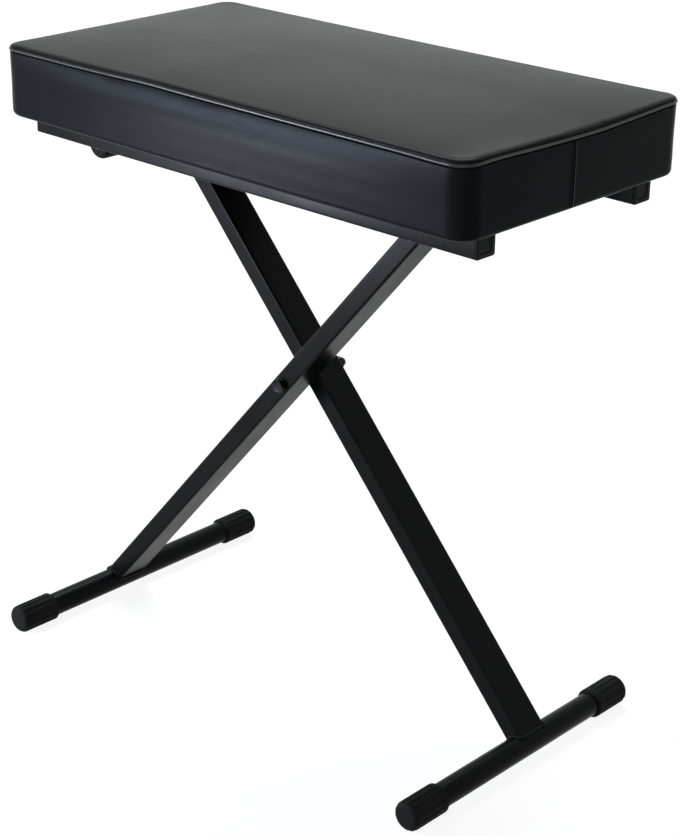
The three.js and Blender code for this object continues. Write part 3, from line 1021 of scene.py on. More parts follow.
@dataclass(frozen=True)
class CapSizes:
    """Sizes of a rubber cap over a round tube's end, in metres.

    The flutes start past the collar and fade out before the rounded end. Each is a hollow between
    lands, as shares of the wave round the cap.
    """

    radius: float = 0.01565
    collar: float = 0.005
    chamfer: float = 0.002
    roundness: float = 0.0055
    end_wall: float = 0.005
    play: float = 0.0001
    flute_depth: float = 0.0009
    flutes: int = 14
    fade: float = 0.0015
    clear: float = 0.001
    land: float = 0.35
    hollow: float = 0.4
    side_rows: int = 10
    end_rows: int = 8
    sides: int = 168


def weld_bead(seed: int) -> Bead:
    """The bead that a weld leaves round a tube's end."""
    sizes = {"radius": 0.0019, "spacing": 0.0005, "ripple": 0.00022, "pitch": 0.0024}
    return Bead(**sizes, wander=0.0009, seed=seed)


class RubberCap:
    """A rubber cap on one end of a tube that lies along Y."""

    def __init__(self, node: str, body: Body, sizes: CapSizes) -> None:
        """Takes the frame node that it stands for, its body and its sizes."""
        self.node = node
        self.body = body
        self.sizes = sizes
        self.low, self.high, self.middle = box_and_middle(node)
        self.length = self.high.y - self.low.y

    def groove(self, radius: float, place: float, angle: float) -> float:
        """The radius after the flutes are taken off it.

        Args:
            radius: the cap's radius before.
            place: how far along the cap it is.
            angle: where round the cap it is.

        Returns:
            The fluted radius.
        """
        size = self.sizes
        if size.flutes == 0 or radius <= size.radius - size.roundness:
            return radius
        fade_in = clamped((place - size.collar) / size.fade)
        fade_out = clamped((self.length - size.clear - place) / size.roundness)
        wave = 0.5 + 0.5 * math.cos(size.flutes * angle)
        hollow = eased_share((wave - size.land) / size.hollow)
        return radius - size.flute_depth * hollow * fade_in * fade_out

    def build(self, tube_radius: float) -> bpy.types.Object:
        """Makes the cap.

        Args:
            tube_radius: the radius of the tube that it sits on.

        Returns:
            The finished piece.
        """
        size = self.sizes
        side = 1 if self.middle.y > 0 else -1
        start = self.low.y if side > 0 else self.high.y
        bore = tube_radius + size.play
        floor = self.length - size.end_wall
        outer = size.radius
        line = [(0.0, floor), (bore, floor), (bore, 0.0), (outer - size.chamfer, 0.0)]
        line += [(outer, size.chamfer), (outer, size.collar)]
        flat = self.length - size.roundness - size.collar
        for step in range(1, size.side_rows):
            line.append((outer, size.collar + flat * step / size.side_rows))
        for step in range(size.end_rows + 1):
            angle = math.pi / 2 * step / size.end_rows
            across = outer - size.roundness * (1 - math.cos(angle))
            line.append((across, self.length - size.roundness * (1 - math.sin(angle))))
        line.append((0.0, self.length))
        cap = turned(
            f"{self.node}_rubber",
            line,
            (self.middle.x, start, self.middle.z),
            Vector((0, side, 0)),
            sides=size.sides,
            shape=self.groove,
        )
        return settle(cap, self.body, RUBBER, self.node)


class LegFrame:
    """One leg with its foot tube, its top cross tube, its welds and its caps."""

    WELD_SEEDS = {"foot": 7, "top": 3}

    def __init__(self, sizes: LegSizes, beads: BeadTree) -> None:
        """Takes the sizes and the weld's tree, and reads where the leg lies from the frame."""
        self.sizes = sizes
        self.beads = beads
        lean = math.radians(sizes.lean)
        self.up = Vector((sizes.side * math.cos(lean), 0, math.sin(lean)))
        self.across = Vector((math.sin(lean), 0, -sizes.side * math.cos(lean)))
        self.pivot = box_and_middle(f"{sizes.name}_pivot_sleeve")[2]
        self.top = box_and_middle(sizes.top_node)[2]
        self.foot = box_and_middle(f"{sizes.name}_foot_tube")[2]
        # The leg's section as pairs of places across it and along Y.
        self.outline = rounded_rectangle(
            sizes.depth, sizes.width, sizes.corner, splits=sizes.splits
        )

    def reach(self, cross: Vector, across: float, way: int) -> float:
        """How far along the leg its end meets a cross tube.

        Args:
            cross: the cross tube's middle.
            across: the place across the leg.
            way: one at the leg's top and minus one at its foot.

        Returns:
            The distance from the pivot, upwards.
        """
        size = self.sizes
        offset = cross - self.pivot
        radius = size.cross_radius - size.sink
        gap = across - offset.dot(self.across)
        rise = math.sqrt(max(radius * radius - gap * gap, 0.0))
        return offset.dot(self.up) - way * max(rise, size.weld_reach)

    def end_ring(self, cross: Vector, way: int, grow: float = 0.0) -> list[Vector]:
        """The points where the leg's skin meets a cross tube.

        Args:
            cross: the cross tube's middle.
            way: one at the leg's top and minus one at its foot.
            grow: how far outside the leg's skin the points lie.

        Returns:
            The points round the leg.
        """
        scale_a = 1 + grow / (self.sizes.depth / 2)
        scale_y = 1 + grow / (self.sizes.width / 2)
        return [
            self.pivot
            + self.up * self.reach(cross, across, way)
            + self.across * across * scale_a
            + Vector((0, along_y * scale_y, 0))
            for across, along_y in self.outline
        ]

    def close_end(self, faces: list[tuple[int, ...]], start: int, flip: bool) -> None:
        """Closes an end with strips between points that face each other over the width.

        Args:
            faces: the leg's faces, which get the strips.
            start: the number of the end's first point.
            flip: true if the strips run the other way round.
        """
        count = len(self.outline)
        partner = [
            min(
                range(count),
                key=lambda j: abs(self.outline[j][0] - across) + abs(self.outline[j][1] + along_y),
            )
            for across, along_y in self.outline
        ]
        for i in range(count):
            j = (i + 1) % count
            if self.outline[i][1] > 0 and self.outline[j][1] > 0:
                strip = [start + i, start + partner[i], start + partner[j], start + j]
                faces.append(tuple(strip if flip else reversed(strip)))

    def build_tube(self) -> None:
        """The leg tube, coped to the cross tubes at both ends."""
        count = len(self.outline)
        points = self.end_ring(self.foot, -1) + self.end_ring(self.top, 1)
        faces = []
        for i in range(count):
            j = (i + 1) % count
            faces.append((i, j, count + j, count + i))
        self.close_end(faces, 0, True)
        self.close_end(faces, count, False)
        leg = mesh_object(f"{self.sizes.name}_leg_tube", points, faces)
        settle(leg, self.sizes.body, PAINT, f"{self.sizes.name}_leg")

    def build_cross_tube(self, node: str, name: str) -> None:
        """A round tube along Y with its bore.

        Args:
            node: the frame node that it stands for.
            name: the piece's name.
        """
        size = self.sizes
        low, high, middle = box_and_middle(node)
        half = (high.y - low.y) / 2
        inner = size.cross_radius - size.cross_wall
        profile = ring_profile(inner, size.cross_radius, -half, half, size.cross_edge)
        tube = turned(name, profile, middle, sides=size.cross_sides, around=True)
        settle(tube, size.body, PAINT, node)

    def build_welds(self) -> None:
        """Weld beads round both ends of the leg."""
        size = self.sizes
        for end, cross, way in (("foot", self.foot, -1), ("top", self.top, 1)):
            ring = self.end_ring(cross, way, size.weld_grow)
            lifted = [point - self.up * way * size.weld_lift for point in ring]
            bead = path_object(f"{size.name}_{end}_weld", lifted, closed=True)
            grown(bead, self.beads.group, weld_bead(self.WELD_SEEDS[end]).inputs(PAINT))
            settle(bead, size.body, PAINT)

    def build(self) -> None:
        """Makes every piece of the leg frame."""
        size = self.sizes
        self.build_tube()
        self.build_cross_tube(f"{size.name}_foot_tube", f"{size.name}_foot_bar")
        self.build_cross_tube(size.top_node, f"{size.top_node}_round")
        self.build_welds()
        for end in ("near", "far"):
            cap = RubberCap(f"{size.name}_foot_cap_{end}", size.body, CapSizes())
            cap.build(size.cross_radius)
        LOG.info("%s leg frame done", size.name)


# Pivot and hinge


@dataclass(frozen=True)
class PivotSizes:
    """Sizes of the pivot's bolt and nut and of the hinge's washers, in metres.

    Attributes:
        shank: the bolt's radius.
        across: the hexagons' size over their flats.
        head: the head's height.
        dish: where the head's top starts to rise, as a share of half the flats' distance.
        rim: where it's full.
        thread: the thread's length.
        pitch: the thread's pitch.
        root: the thread's root as a share of the shank's radius.
        tip: the radius of the bolt's end as such a share.
        collar: the height of the nut's round collar.
        collar_foot: the collar's radius at its foot, as a share of half the flats' distance.
        collar_top: the same near its top.
        collar_lip: the same at its top.
        bore: the radius of the holes round the bolt.
        hinge_bore: the radius of the hinge washers' holes.
        edge: the width of an eased edge.
        chamfer: how far inside the flats the chamfered face's edge lies.
        slope: how steeply the chamfer falls.
        core: within this share of the flats' distance the bolt is round.
    """

    shank: float = 0.004
    across: float = 0.013
    head: float = 0.0044
    dish: float = 0.72
    rim: float = 0.8
    thread: float = 0.014
    pitch: float = 0.00125
    root: float = 0.86
    tip: float = 0.85
    collar: float = 0.002
    collar_foot: float = 0.86
    collar_top: float = 0.85
    collar_lip: float = 0.78
    bore: float = 0.0042
    hinge_bore: float = 0.0052
    edge: float = 0.0003
    chamfer: float = 0.0001
    slope: float = 1.9
    core: float = 0.4


def off_flat(angle: float) -> float:
    """The angle from the middle of the nearest flat of a hexagon."""
    return (angle % SIXTH_TURN) - SIXTH_TURN / 2


class Pivot:
    """Bolt, washers, spacer and nut where the legs cross, and the hinge's washers."""

    SIDES = 72

    def __init__(self, sizes: PivotSizes) -> None:
        """Takes the sizes."""
        self.sizes = sizes
        self.body = Body.FRONT_LEG

    def washer(self, node: str, finish: Finish, bore: float) -> None:
        """A flat washer with eased edges.

        Args:
            node: the frame node that it stands for.
            finish: its finish.
            bore: its hole's radius.
        """
        low, high, middle = box_and_middle(node)
        half = (high.y - low.y) / 2
        profile = ring_profile(bore, (high.x - low.x) / 2, -half, half, self.sizes.edge)
        settle(turned(f"{node}_disc", profile, middle, around=True), self.body, finish, node)

    def head_radius(self, radius: float, place: float, angle: float) -> float:
        """The bolt's radius: its head is a chamfered hexagon and the rest is round.

        Args:
            radius: the profile's radius.
            place: the height over the head's underside.
            angle: the angle round the bolt.

        Returns:
            The radius.
        """
        size = self.sizes
        if radius < size.across * size.core:
            return radius
        flat = size.across / 2 / math.cos(off_flat(angle))
        cone = size.across / 2 - size.chamfer + (size.head - place) * size.slope
        return min(flat, cone, radius * 2)

    def build_bolt(self) -> None:
        """The hexagonal head and its shank with a threaded end."""
        size = self.sizes
        low, high, middle = box_and_middle("pivot_bolt")
        flat, head = size.across / 2, size.head
        line = [(0.0, head - size.edge), (flat * size.dish, head - size.edge)]
        line.append((flat * size.rim, head))
        heights = [head - drop * size.edge for drop in (0, 1, 2, 4, 6)] + [size.edge, 0.0]
        line += [(flat, height) for height in heights]
        shank_end = head - (high.y - low.y)
        place = shank_end + size.thread
        line += [(size.shank, 0.0), (size.shank, place)]
        while place > shank_end + size.pitch:
            place -= size.pitch
            line += [(size.shank * size.root, place + size.pitch / 2), (size.shank, place)]
        line += [(size.shank * size.tip, shank_end), (0.0, shank_end)]
        bolt = turned(
            "pivot_hex_bolt",
            line,
            (middle.x, low.y + head, middle.z),
            Vector((0, -1, 0)),
            sides=self.SIDES,
            shape=self.head_radius,
        )
        settle(bolt, self.body, BLACK_STEEL, "pivot_bolt")

    def build_nut(self) -> None:
        """A lock nut: hexagon, round collar and the ring inside it."""
        size = self.sizes
        low, high, middle = box_and_middle("pivot_nut")
        height = high.y - low.y
        flat, flats = size.across / 2, height - size.collar - size.edge
        line = [(size.bore, 0.0), (flat - 2 * size.edge, 0.0), (flat - size.edge, size.edge)]
        line += [(flat, flats * share) for share in (0.2, 0.6, 0.8, 0.9, 0.96, 1.0)]
        line.append((flat * size.collar_foot, flats + size.edge))
        line.append((flat * size.collar_top, height - 2 * size.edge))
        line += [(flat * size.collar_lip, height), (size.bore, height)]

        def nut_radius(radius: float, place: float, angle: float) -> float:
            """The nut's radius, a chamfered hexagon up to its collar.

            Args:
                radius: the profile's radius.
                place: the height over the nut's foot.
                angle: the angle round it.

            Returns:
                The radius.
            """
            if not size.edge / 2 < place <= flats or radius < flat - 1.5 * size.edge:
                return radius
            cone = flat - size.chamfer + (flats - place) * size.slope
            return min(flat / math.cos(off_flat(angle)), cone)

        nut = turned(
            "pivot_lock_nut",
            line,
            (middle.x, low.y, middle.z),
            sides=self.SIDES,
            around=True,
            shape=nut_radius,
        )
        settle(nut, self.body, BLACK_STEEL, "pivot_nut")

    def build(self) -> None:
        """Makes the pivot's visible pieces and the hinge's washers."""
        size = self.sizes
        for node, finish in (("head_washer", BLACK_STEEL), ("nut_washer", BLACK_STEEL)):
            self.washer(f"pivot_{node}", finish, size.bore)
        self.washer("pivot_spacer", NYLON, size.bore)
        for end in ("near", "far"):
            self.washer(f"hinge_washer_{end}", NYLON, size.hinge_bore)
        self.build_bolt()
        self.build_nut()


# Seat frame


@dataclass(frozen=True)
class RailSizes:
    """Sizes of the square rails and the plugs in their ends, in metres."""

    side: float = 0.0254
    wall: float = 0.0015
    corner: float = 0.0025
    edge: float = 0.0003
    plug_play: float = 0.0003
    plug_lead: float = 0.002
    plug_tip: float = 0.001
    plug_corner: float = 0.0015
    plug_face: float = 0.002
    plug_edge: float = 0.0006
    recess: float = 0.0009
    recess_inset: float = 0.0042
    recess_slope: float = 0.0006
    recess_corner: float = 0.0018
    recess_floor_corner: float = 0.0014


@dataclass(frozen=True)
class ScrewSizes:
    """Sizes of a dome-headed screw, as shares of its head's radius and in metres."""

    shank: float = 0.5
    head: float = 0.55
    socket: float = 0.42
    rim: float = 0.15
    flats: float = 0.86
    socket_depth: float = 0.0016
    socket_edge: float = 0.0002
    rows: int = 8
    sides: int = 48


class SeatFrame:
    """The two rails with their plugs and screws."""

    def __init__(self, sizes: RailSizes, screw: ScrewSizes) -> None:
        """Takes the sizes."""
        self.sizes = sizes
        self.screw = screw

    def rings(self, stations: Sequence[tuple[float, float, float]], middle: Vector) -> list:
        """Rings of a rail's section at places along it.

        Args:
            stations: inset, corner radius and place along X for each ring.
            middle: the rail's or the plug's middle.

        Returns:
            The rings of points.
        """
        rings = []
        for inset, corner, x in stations:
            side = self.sizes.side - 2 * inset
            section = rounded_rectangle(side, side, corner)
            rings.append([(x, middle.y + across, middle.z + up) for across, up in section])
        return rings

    def build_rail(self, node: str) -> None:
        """One square tube.

        Args:
            node: the frame node that it stands for.
        """
        size = self.sizes
        low, high, middle = box_and_middle(node)
        bore_corner = size.corner - size.wall / 2
        stations = [
            (0.0, size.corner, low.x + size.edge),
            (0.0, size.corner, high.x - size.edge),
            (size.edge, size.corner - size.edge, high.x),
            (size.wall, bore_corner, high.x),
            (size.wall, bore_corner, low.x),
            (size.edge, size.corner - size.edge, low.x),
        ]
        rail = skin(f"{node}_tube", self.rings(stations, middle), around=True)
        settle(rail, Body.SEAT, PAINT, node)

    def build_plug(self, node: str) -> None:
        """The moulded plug that closes one end of a rail.

        Args:
            node: the frame node that it stands for.
        """
        size = self.sizes
        low, high, middle = box_and_middle(node)
        way = 1 if "right" in node else -1
        inner, outer = (low.x, high.x) if way > 0 else (high.x, low.x)
        body_inset = size.wall + size.plug_play
        face = outer - way * size.plug_face
        soft = size.plug_edge * 0.3
        recess = (size.recess_inset, size.recess_inset + size.recess_slope)
        stations = [
            (body_inset + size.plug_lead, size.plug_tip, inner),
            (body_inset, size.plug_corner, inner + way * size.plug_lead),
            (body_inset, size.plug_corner, face),
            (0.0, size.corner, face),
            (0.0, size.corner, outer - way * size.plug_edge),
            (soft, size.corner - soft, outer - way * soft),
            (size.plug_edge, size.corner - size.plug_edge, outer),
            (recess[0], size.recess_corner, outer),
            (recess[1], size.recess_floor_corner, outer - way * size.recess),
        ]
        plug = skin(f"{node}_moulding", self.rings(stations, middle))
        settle(plug, Body.SEAT, PLASTIC, node)

    def build_screw(self, node: str) -> None:
        """A dome-headed screw with a hexagonal socket, its head downwards.

        Args:
            node: the frame node that it stands for.
        """
        size = self.screw
        low, high, middle = box_and_middle(node)
        outer = (high.x - low.x) / 2
        shank, head, socket = outer * size.shank, outer * size.head, outer * size.socket
        floor, shank_end = head - size.socket_depth, -(high.z - low.z - head)
        line = [(0.0, floor), (socket, floor), (socket, head - size.socket_edge)]
        line.append((socket + size.socket_edge, head))
        for step in range(1, size.rows + 1):
            angle = math.pi / 2 * step / size.rows
            rise = size.rim + (1 - size.rim) * math.cos(angle)
            line.append((socket + (outer - socket) * math.sin(angle), head * rise))
        line += [(outer, 0.0), (shank, 0.0), (shank, shank_end), (0.0, shank_end)]

        def socket_radius(radius: float, place: float, angle: float) -> float:
            """The screw's radius, with flats inside the socket.

            Args:
                radius: the profile's radius.
                place: not used.
                angle: the angle round it.

            Returns:
                The radius.
            """
            if 0 < radius <= socket:
                return radius * size.flats / math.cos(off_flat(angle))
            return radius

        screw = turned(
            f"{node}_domed",
            line,
            (middle.x, middle.y, low.z + head),
            Vector((0, 0, -1)),
            sides=size.sides,
            shape=socket_radius,
        )
        settle(screw, Body.SEAT, BLACK_STEEL, node)

    def build(self) -> None:
        """Makes the seat frame's visible pieces."""
        for place in ("front", "rear"):
            self.build_rail(f"{place}_rail")
            for end in ("left", "right"):
                self.build_plug(f"{place}_rail_{end}_plug")
                self.build_screw(f"{place}_rail_{end}_screw")
        for place in ("front", "rear"):
            for end in ("left", "right"):
                self.build_screw(f"{place}_bracket_{end}_screw")


# Cushion


@dataclass(frozen=True)
class CushionSizes:
    """Sizes of the cushion, in metres.

    Attributes:
        base_length: the cover's length at its foot; base_depth and base_corner go with it.
        seam_length: the seam's length; seam_depth and seam_corner go with it.
        seam_inset: how far inside the seam the side's upper edge lies.
        side_height: the seam's height over the foot.
        lower_roll: the rounding of the lower edge.
        front_bulge: how far the long sides swell, and bulge_rise and bulge_fullness their form.
        end_bulge: how far the ends swell.
        groove_depth: the depth of the groove that the piping lies in.
        groove_height: the groove's height on either side of the seam.
        groove_lip: the upper edge's height as a share of it.
        shoulder_height: how far the shoulder rises over the seam.
        shoulder_inset: how far in it ends, from shoulder_start.
        crown: how far the top rises over the shoulder, by the powers crown_x and crown_fall.
        pocket_length: the board's pocket; pocket_depth, _corner and _top go with it.
        piping_inset: how far inside the seam the piping's middle runs.
        join_y: where the side strip's join lies on the right end.
        join_groove: the join's depth and join_groove_width its width.
        join_lip: the height of the lips beside it, join_lip_place and join_lip_width their place.
        top_corner: the least radius of the top's corners.
        top_fade: how much of the seam's stray is gone at the shoulder's end.
        push_reach: how far from a corner its push fades.
        stray_reach: how far from a side its seam's stray fades.
    """

    base_length: float = 0.6095
    base_depth: float = 0.316
    base_corner: float = 0.021
    seam_length: float = 0.611
    seam_depth: float = 0.3175
    seam_corner: float = 0.021
    seam_inset: float = 0.0006
    side_height: float = 0.0676
    lower_roll: float = 0.005
    front_bulge: float = 0.0038
    bulge_rise: float = 1.6
    bulge_fullness: float = 0.8
    end_bulge: float = 0.0008
    groove_depth: float = 0.0036
    groove_height: float = 0.0030
    groove_lip: float = 0.7
    shoulder_height: float = 0.0056
    shoulder_start: float = 0.0012
    shoulder_inset: float = 0.008
    crown: float = 0.0042
    crown_x: float = 4.0
    crown_fall: float = 0.8
    pocket_length: float = 0.5904
    pocket_depth: float = 0.2969
    pocket_corner: float = 0.014
    pocket_top: float = 0.0157
    piping_inset: float = 0.0014
    join_y: float = -0.011
    join_groove: float = 0.0013
    join_groove_width: float = 0.0007
    join_lip: float = 0.0005
    join_lip_place: float = 0.0019
    join_lip_width: float = 0.0011
    top_corner: float = 0.004
    top_fade: float = 0.3
    push_reach: float = 0.012
    stray_reach: float = 0.03


@dataclass(frozen=True)
class ClothSettings:
    """The cloth's settings for vinyl drawn over foam, under the modifier's own names."""

    quality: int = 6
    mass: float = 0.4
    tension_stiffness: float = 30.0
    compression_stiffness: float = 30.0
    shear_stiffness: float = 15.0
    bending_stiffness: float = 1.2
    use_pressure: bool = True
    uniform_pressure_force: float = 4.0
    shrink_min: float = 0.01
    vertex_group_mass: str = "held"


@dataclass(frozen=True)
class CoverMove:
    """How the cloth is held and its movement taken over, in metres.

    Attributes:
        voxel: the grain of the mesh that is simulated.
        frames: the number of frames until it's settled.
        seam_side: how far inside the seam the cloth is held.
        seam_band: how far over and under it.
        foot: the height under which it's held.
        rounds: how often the movement is averaged.
        most: the movement that it can't exceed.
        hold_start: the height over the foot at which the cover starts to follow.
        hold_rise: the height over which it comes to follow in full.
    """

    voxel: float = 0.005
    frames: int = 20
    seam_side: float = 0.006
    seam_band: float = 0.0035
    foot: float = 0.012
    rounds: int = 30
    most: float = 0.0009
    hold_start: float = 0.004
    hold_rise: float = 0.032


@dataclass(frozen=True)
class StapleSizes:
    """Sizes of the staples and their rows, in metres and radians."""

    inset: float = 0.008
    margin: float = 0.004
    spacing: float = 0.026
    length: float = 0.010
    width: float = 0.0009
    thick: float = 0.0005
    slant: float = 0.22


class Perimeter:
    """Points round a rounded rectangle, crowded where the side strip is joined."""

    CROWD_WIDTH = 0.014
    CROWDING = 9.0
    FINE = 2001

    def __init__(self, long_count: int, short_count: int, crowd_share: float) -> None:
        """Takes the points on a long and a short side, and where on the short one they crowd."""
        self.long_count = long_count
        self.short_count = short_count
        self.crowd_share = crowd_share

    def shares(self, count: int, crowd: float | None) -> np.ndarray:
        """Shares of a side's length at which its points lie.

        Args:
            count: the number of points.
            crowd: the share about which they crowd, if they do.

        Returns:
            The shares, from zero.
        """
        if crowd is None:
            return np.arange(count) / count
        fine = np.linspace(0, 1, self.FINE)
        density = 1 + self.CROWDING * np.exp(-(((fine - crowd) / self.CROWD_WIDTH) ** 2))
        total = np.concatenate([[0.0], np.cumsum((density[1:] + density[:-1]) / 2)])
        return np.interp(np.arange(count) / count, total / total[-1], fine)

    def side(
        self, length: float, depth: float, corner: float, count: int, crowd: float | None = None
    ) -> np.ndarray:
        """The right-hand short side, from one corner's middle up to the next, without its end.

        Args:
            length: the rectangle's length.
            depth: its depth.
            corner: its corners' radius.
            count: the number of points.
            crowd: the share about which they crowd, if they do.

        Returns:
            The points as rows of two.
        """
        arc = corner * math.pi / 4
        straight = depth - 2 * corner
        total = straight + 2 * arc
        points = []
        for share in self.shares(count, crowd):
            place = total * share
            if place < arc:
                angle, way = -math.pi / 4 + place / corner, -1
            elif place > arc + straight:
                angle, way = (place - arc - straight) / corner, 1
            else:
                points.append((length / 2, -depth / 2 + corner + place - arc))
                continue
            middle = (length / 2 - corner, way * (depth / 2 - corner))
            points.append(
                (middle[0] + corner * math.cos(angle), middle[1] + corner * math.sin(angle))
            )
        return np.array(points)

    def ring(self, length: float, depth: float, corner: float) -> np.ndarray:
        """All the points, anticlockwise from the corner at +X, -Y.

        Args:
            length: the rectangle's length.
            depth: its depth.
            corner: its corners' radius.

        Returns:
            The points as rows of two.
        """
        right = self.side(length, depth, corner, self.short_count, self.crowd_share)
        left = self.side(length, depth, corner, self.short_count, 1 - self.crowd_share)
        long = self.side(depth, length, corner, self.long_count)
        back = np.stack([-long[:, 1], long[:, 0]], axis=1)
        return np.concatenate([right, back, -left, -back])


class Cushion:
    """The cushion's cover with its seams, and the lining's staples underneath."""

    # How far the seam strays from its level, in millimetres at places along a side.
    FRONT_STRAY = ((-300, 0), (-200, 0), (-150, 0.3), (-91, 1.5), (-30, 0.6), (60, 0), (237, -0.8))
    FRONT_STRAY += ((281, -2.0), (310, -1.4))
    RIGHT_STRAY = ((-158, -1.4), (-137, 0.2), (-110, 0.1), (-60, -1.4), (-11, -2.4), (24, -2.7))
    RIGHT_STRAY += ((64, -1.2), (100, 0.4), (135, 2.0), (158, 1.6))
    # How far the corners stand out from their even roundness, along their diagonals.
    CORNER_PUSH = {(-1, -1): 2.6, (1, -1): 0.6, (-1, 1): 1.4, (1, 1): 0.0}
    PIPED_BEAD = Bead(
        radius=0.0015, spacing=0.0025, ripple=0.00004, pitch=0.006, wander=0.0003, seed=11
    )
    CLOTH = ClothSettings()
    MOVE = CoverMove()
    STAPLES = StapleSizes()
    LONG_COUNT, SHORT_COUNT = 200, 128
    ROLL_ROWS, SIDE_ROWS, SHOULDER_ROWS = 6, 22, 8
    # Where the rings lie in the groove, as shares of a quarter turn.
    LOWER_TURNS, UPPER_TURNS = (0.06, 0.2, 0.5, 1.0), (0.55, 0.25)

    def __init__(self, sizes: CushionSizes, beads: BeadTree, staples: StapleTree) -> None:
        """Takes the sizes and the trees, and reads where the cushion lies from the frame."""
        self.sizes = sizes
        self.beads = beads
        self.staples = staples
        low, _, middle = box_and_middle("seat_cushion")
        self.middle = Vector((middle.x, middle.y, 0))
        self.bottom = low.z
        self.seam = self.bottom + sizes.side_height
        join = 0.5 + sizes.join_y / sizes.seam_depth
        self.perimeter = Perimeter(self.LONG_COUNT, self.SHORT_COUNT, join)

    @staticmethod
    def stray(table: tuple, place: float) -> float:
        """How far a side's seam strays at a place, both in millimetres, without sharp turns."""
        return float(np.interp(place + np.arange(-12, 13, 4), *zip(*table)).mean())

    def seam_lift(self, x: float, y: float) -> float:
        """How far the seam strays from its level on its way round.

        Args:
            x: the place along the seat, from its middle.
            y: the place across it.

        Returns:
            The height over the level.
        """
        size = self.sizes
        front = math.exp(-(((y + size.seam_depth / 2) / size.stray_reach) ** 2))
        right = math.exp(-(((x - size.seam_length / 2) / size.stray_reach) ** 2))
        rear = math.exp(-(((y - size.seam_depth / 2) / size.stray_reach) ** 2))
        along_x = self.stray(self.FRONT_STRAY, x / MM)
        along_y = self.stray(self.RIGHT_STRAY, y / MM)
        rise = max(x, 0.0) / (size.seam_length / 2) * self.RIGHT_STRAY[-1][1]
        lift = along_x * front * (1 - right) + rise * rear * (1 - right) + along_y * right
        return lift * MM

    def lifted(self, ring: np.ndarray, height: float, share: float) -> np.ndarray:
        """A level ring of points, moved by a share of the seam's stray.

        Args:
            ring: the points as rows of two.
            height: the ring's level.
            share: the share of the stray.

        Returns:
            The points as rows of three.
        """
        out = np.zeros((len(ring), 3))
        out[:, :2] = ring
        out[:, 2] = height
        if share:
            lifts = np.array([self.seam_lift(x, y) for x, y in ring])
            around = np.array([1, 2, 3, 4, 3, 2, 1]) / 16
            wrapped = np.concatenate([lifts[-3:], lifts, lifts[:3]])
            out[:, 2] += share * np.convolve(wrapped, around, "valid")
        return out

    def shaped(self, ring: np.ndarray, belly: float = 0.0, join: float = 0.0) -> np.ndarray:
        """A ring with its corners pushed, its sides bulged and the side strip's join cut in.

        Args:
            ring: the ring's points.
            belly: the share of the sides' bulge.
            join: the share of the join's relief.

        Returns:
            The ring's new points.
        """
        size = self.sizes
        ring = ring.copy()
        half = np.array([size.seam_length / 2, size.seam_depth / 2])
        for (way_x, way_y), push in self.CORNER_PUSH.items():
            away = np.hypot(ring[:, 0] - way_x * half[0], ring[:, 1] - way_y * half[1])
            amount = push * MM * np.exp(-((away / size.push_reach) ** 2)) / math.sqrt(2)
            ring += np.outer(amount, (way_x, way_y))
        share = ring / half
        flank = np.clip(1 - share[:, 0] ** 4, 0, 1) * (np.abs(share[:, 1]) > 0.9)
        ring[:, 1] += np.sign(ring[:, 1]) * belly * size.front_bulge * flank
        flank = np.clip(1 - share[:, 1] ** 4, 0, 1) * (np.abs(share[:, 0]) > 0.95)
        ring[:, 0] += np.sign(ring[:, 0]) * belly * size.end_bulge * flank
        away = np.abs(ring[:, 1] - size.join_y)
        lips = np.exp(-(((away - size.join_lip_place) / size.join_lip_width) ** 2))
        relief = size.join_lip * lips
        relief -= size.join_groove * np.exp(-((away / size.join_groove_width) ** 2))
        ring[:, 0] += join * relief * (share[:, 0] > 0.95)
        return ring

    def inset_ring(self, inset: float, least: float = 0.0) -> np.ndarray:
        """A ring inside the seam.

        Args:
            inset: how far inside it.
            least: the corners' least radius.

        Returns:
            The points as rows of two.
        """
        size = self.sizes
        length, depth = size.seam_length - 2 * inset, size.seam_depth - 2 * inset
        return self.perimeter.ring(length, depth, max(size.seam_corner - inset, least))

    def side_rings(self) -> list[np.ndarray]:
        """Rings from the lower edge up into the groove that the piping lies in.

        Returns:
            The rings, lowest first.
        """
        size = self.sizes
        rings = []
        for step in range(self.ROLL_ROWS):
            turn = math.pi / 2 * step / self.ROLL_ROWS
            inset = size.lower_roll / 2 * (1 - math.sin(turn))
            height = self.bottom + size.lower_roll * (1 - math.cos(turn))
            ring = self.perimeter.ring(
                size.base_length - 2 * inset, size.base_depth - 2 * inset, size.base_corner
            )
            rings.append(self.lifted(self.shaped(ring, join=step / self.ROLL_ROWS), height, 0.0))
        foot = np.array((size.base_length, size.base_depth, size.base_corner))
        head = np.array((size.seam_length, size.seam_depth, size.seam_corner))
        head -= (2 * size.seam_inset, 2 * size.seam_inset, 0.0)
        start = self.bottom + size.lower_roll
        top = self.seam - size.groove_height
        for row in range(self.SIDE_ROWS + 1):
            share = row / self.SIDE_ROWS
            belly = math.sin(math.pi * share**size.bulge_rise) ** size.bulge_fullness
            ring = self.shaped(self.perimeter.ring(*(foot + (head - foot) * share)), belly, 1.0)
            rings.append(self.lifted(ring, start + (top - start) * share, share**2))
        for turn in self.LOWER_TURNS:
            inset = size.seam_inset + size.groove_depth * math.sin(turn * math.pi / 2)
            height = top + size.groove_height * (1 - math.cos(turn * math.pi / 2))
            ring = self.shaped(self.inset_ring(inset), join=1 - turn)
            rings.append(self.lifted(ring, height, 1.0))
        return rings

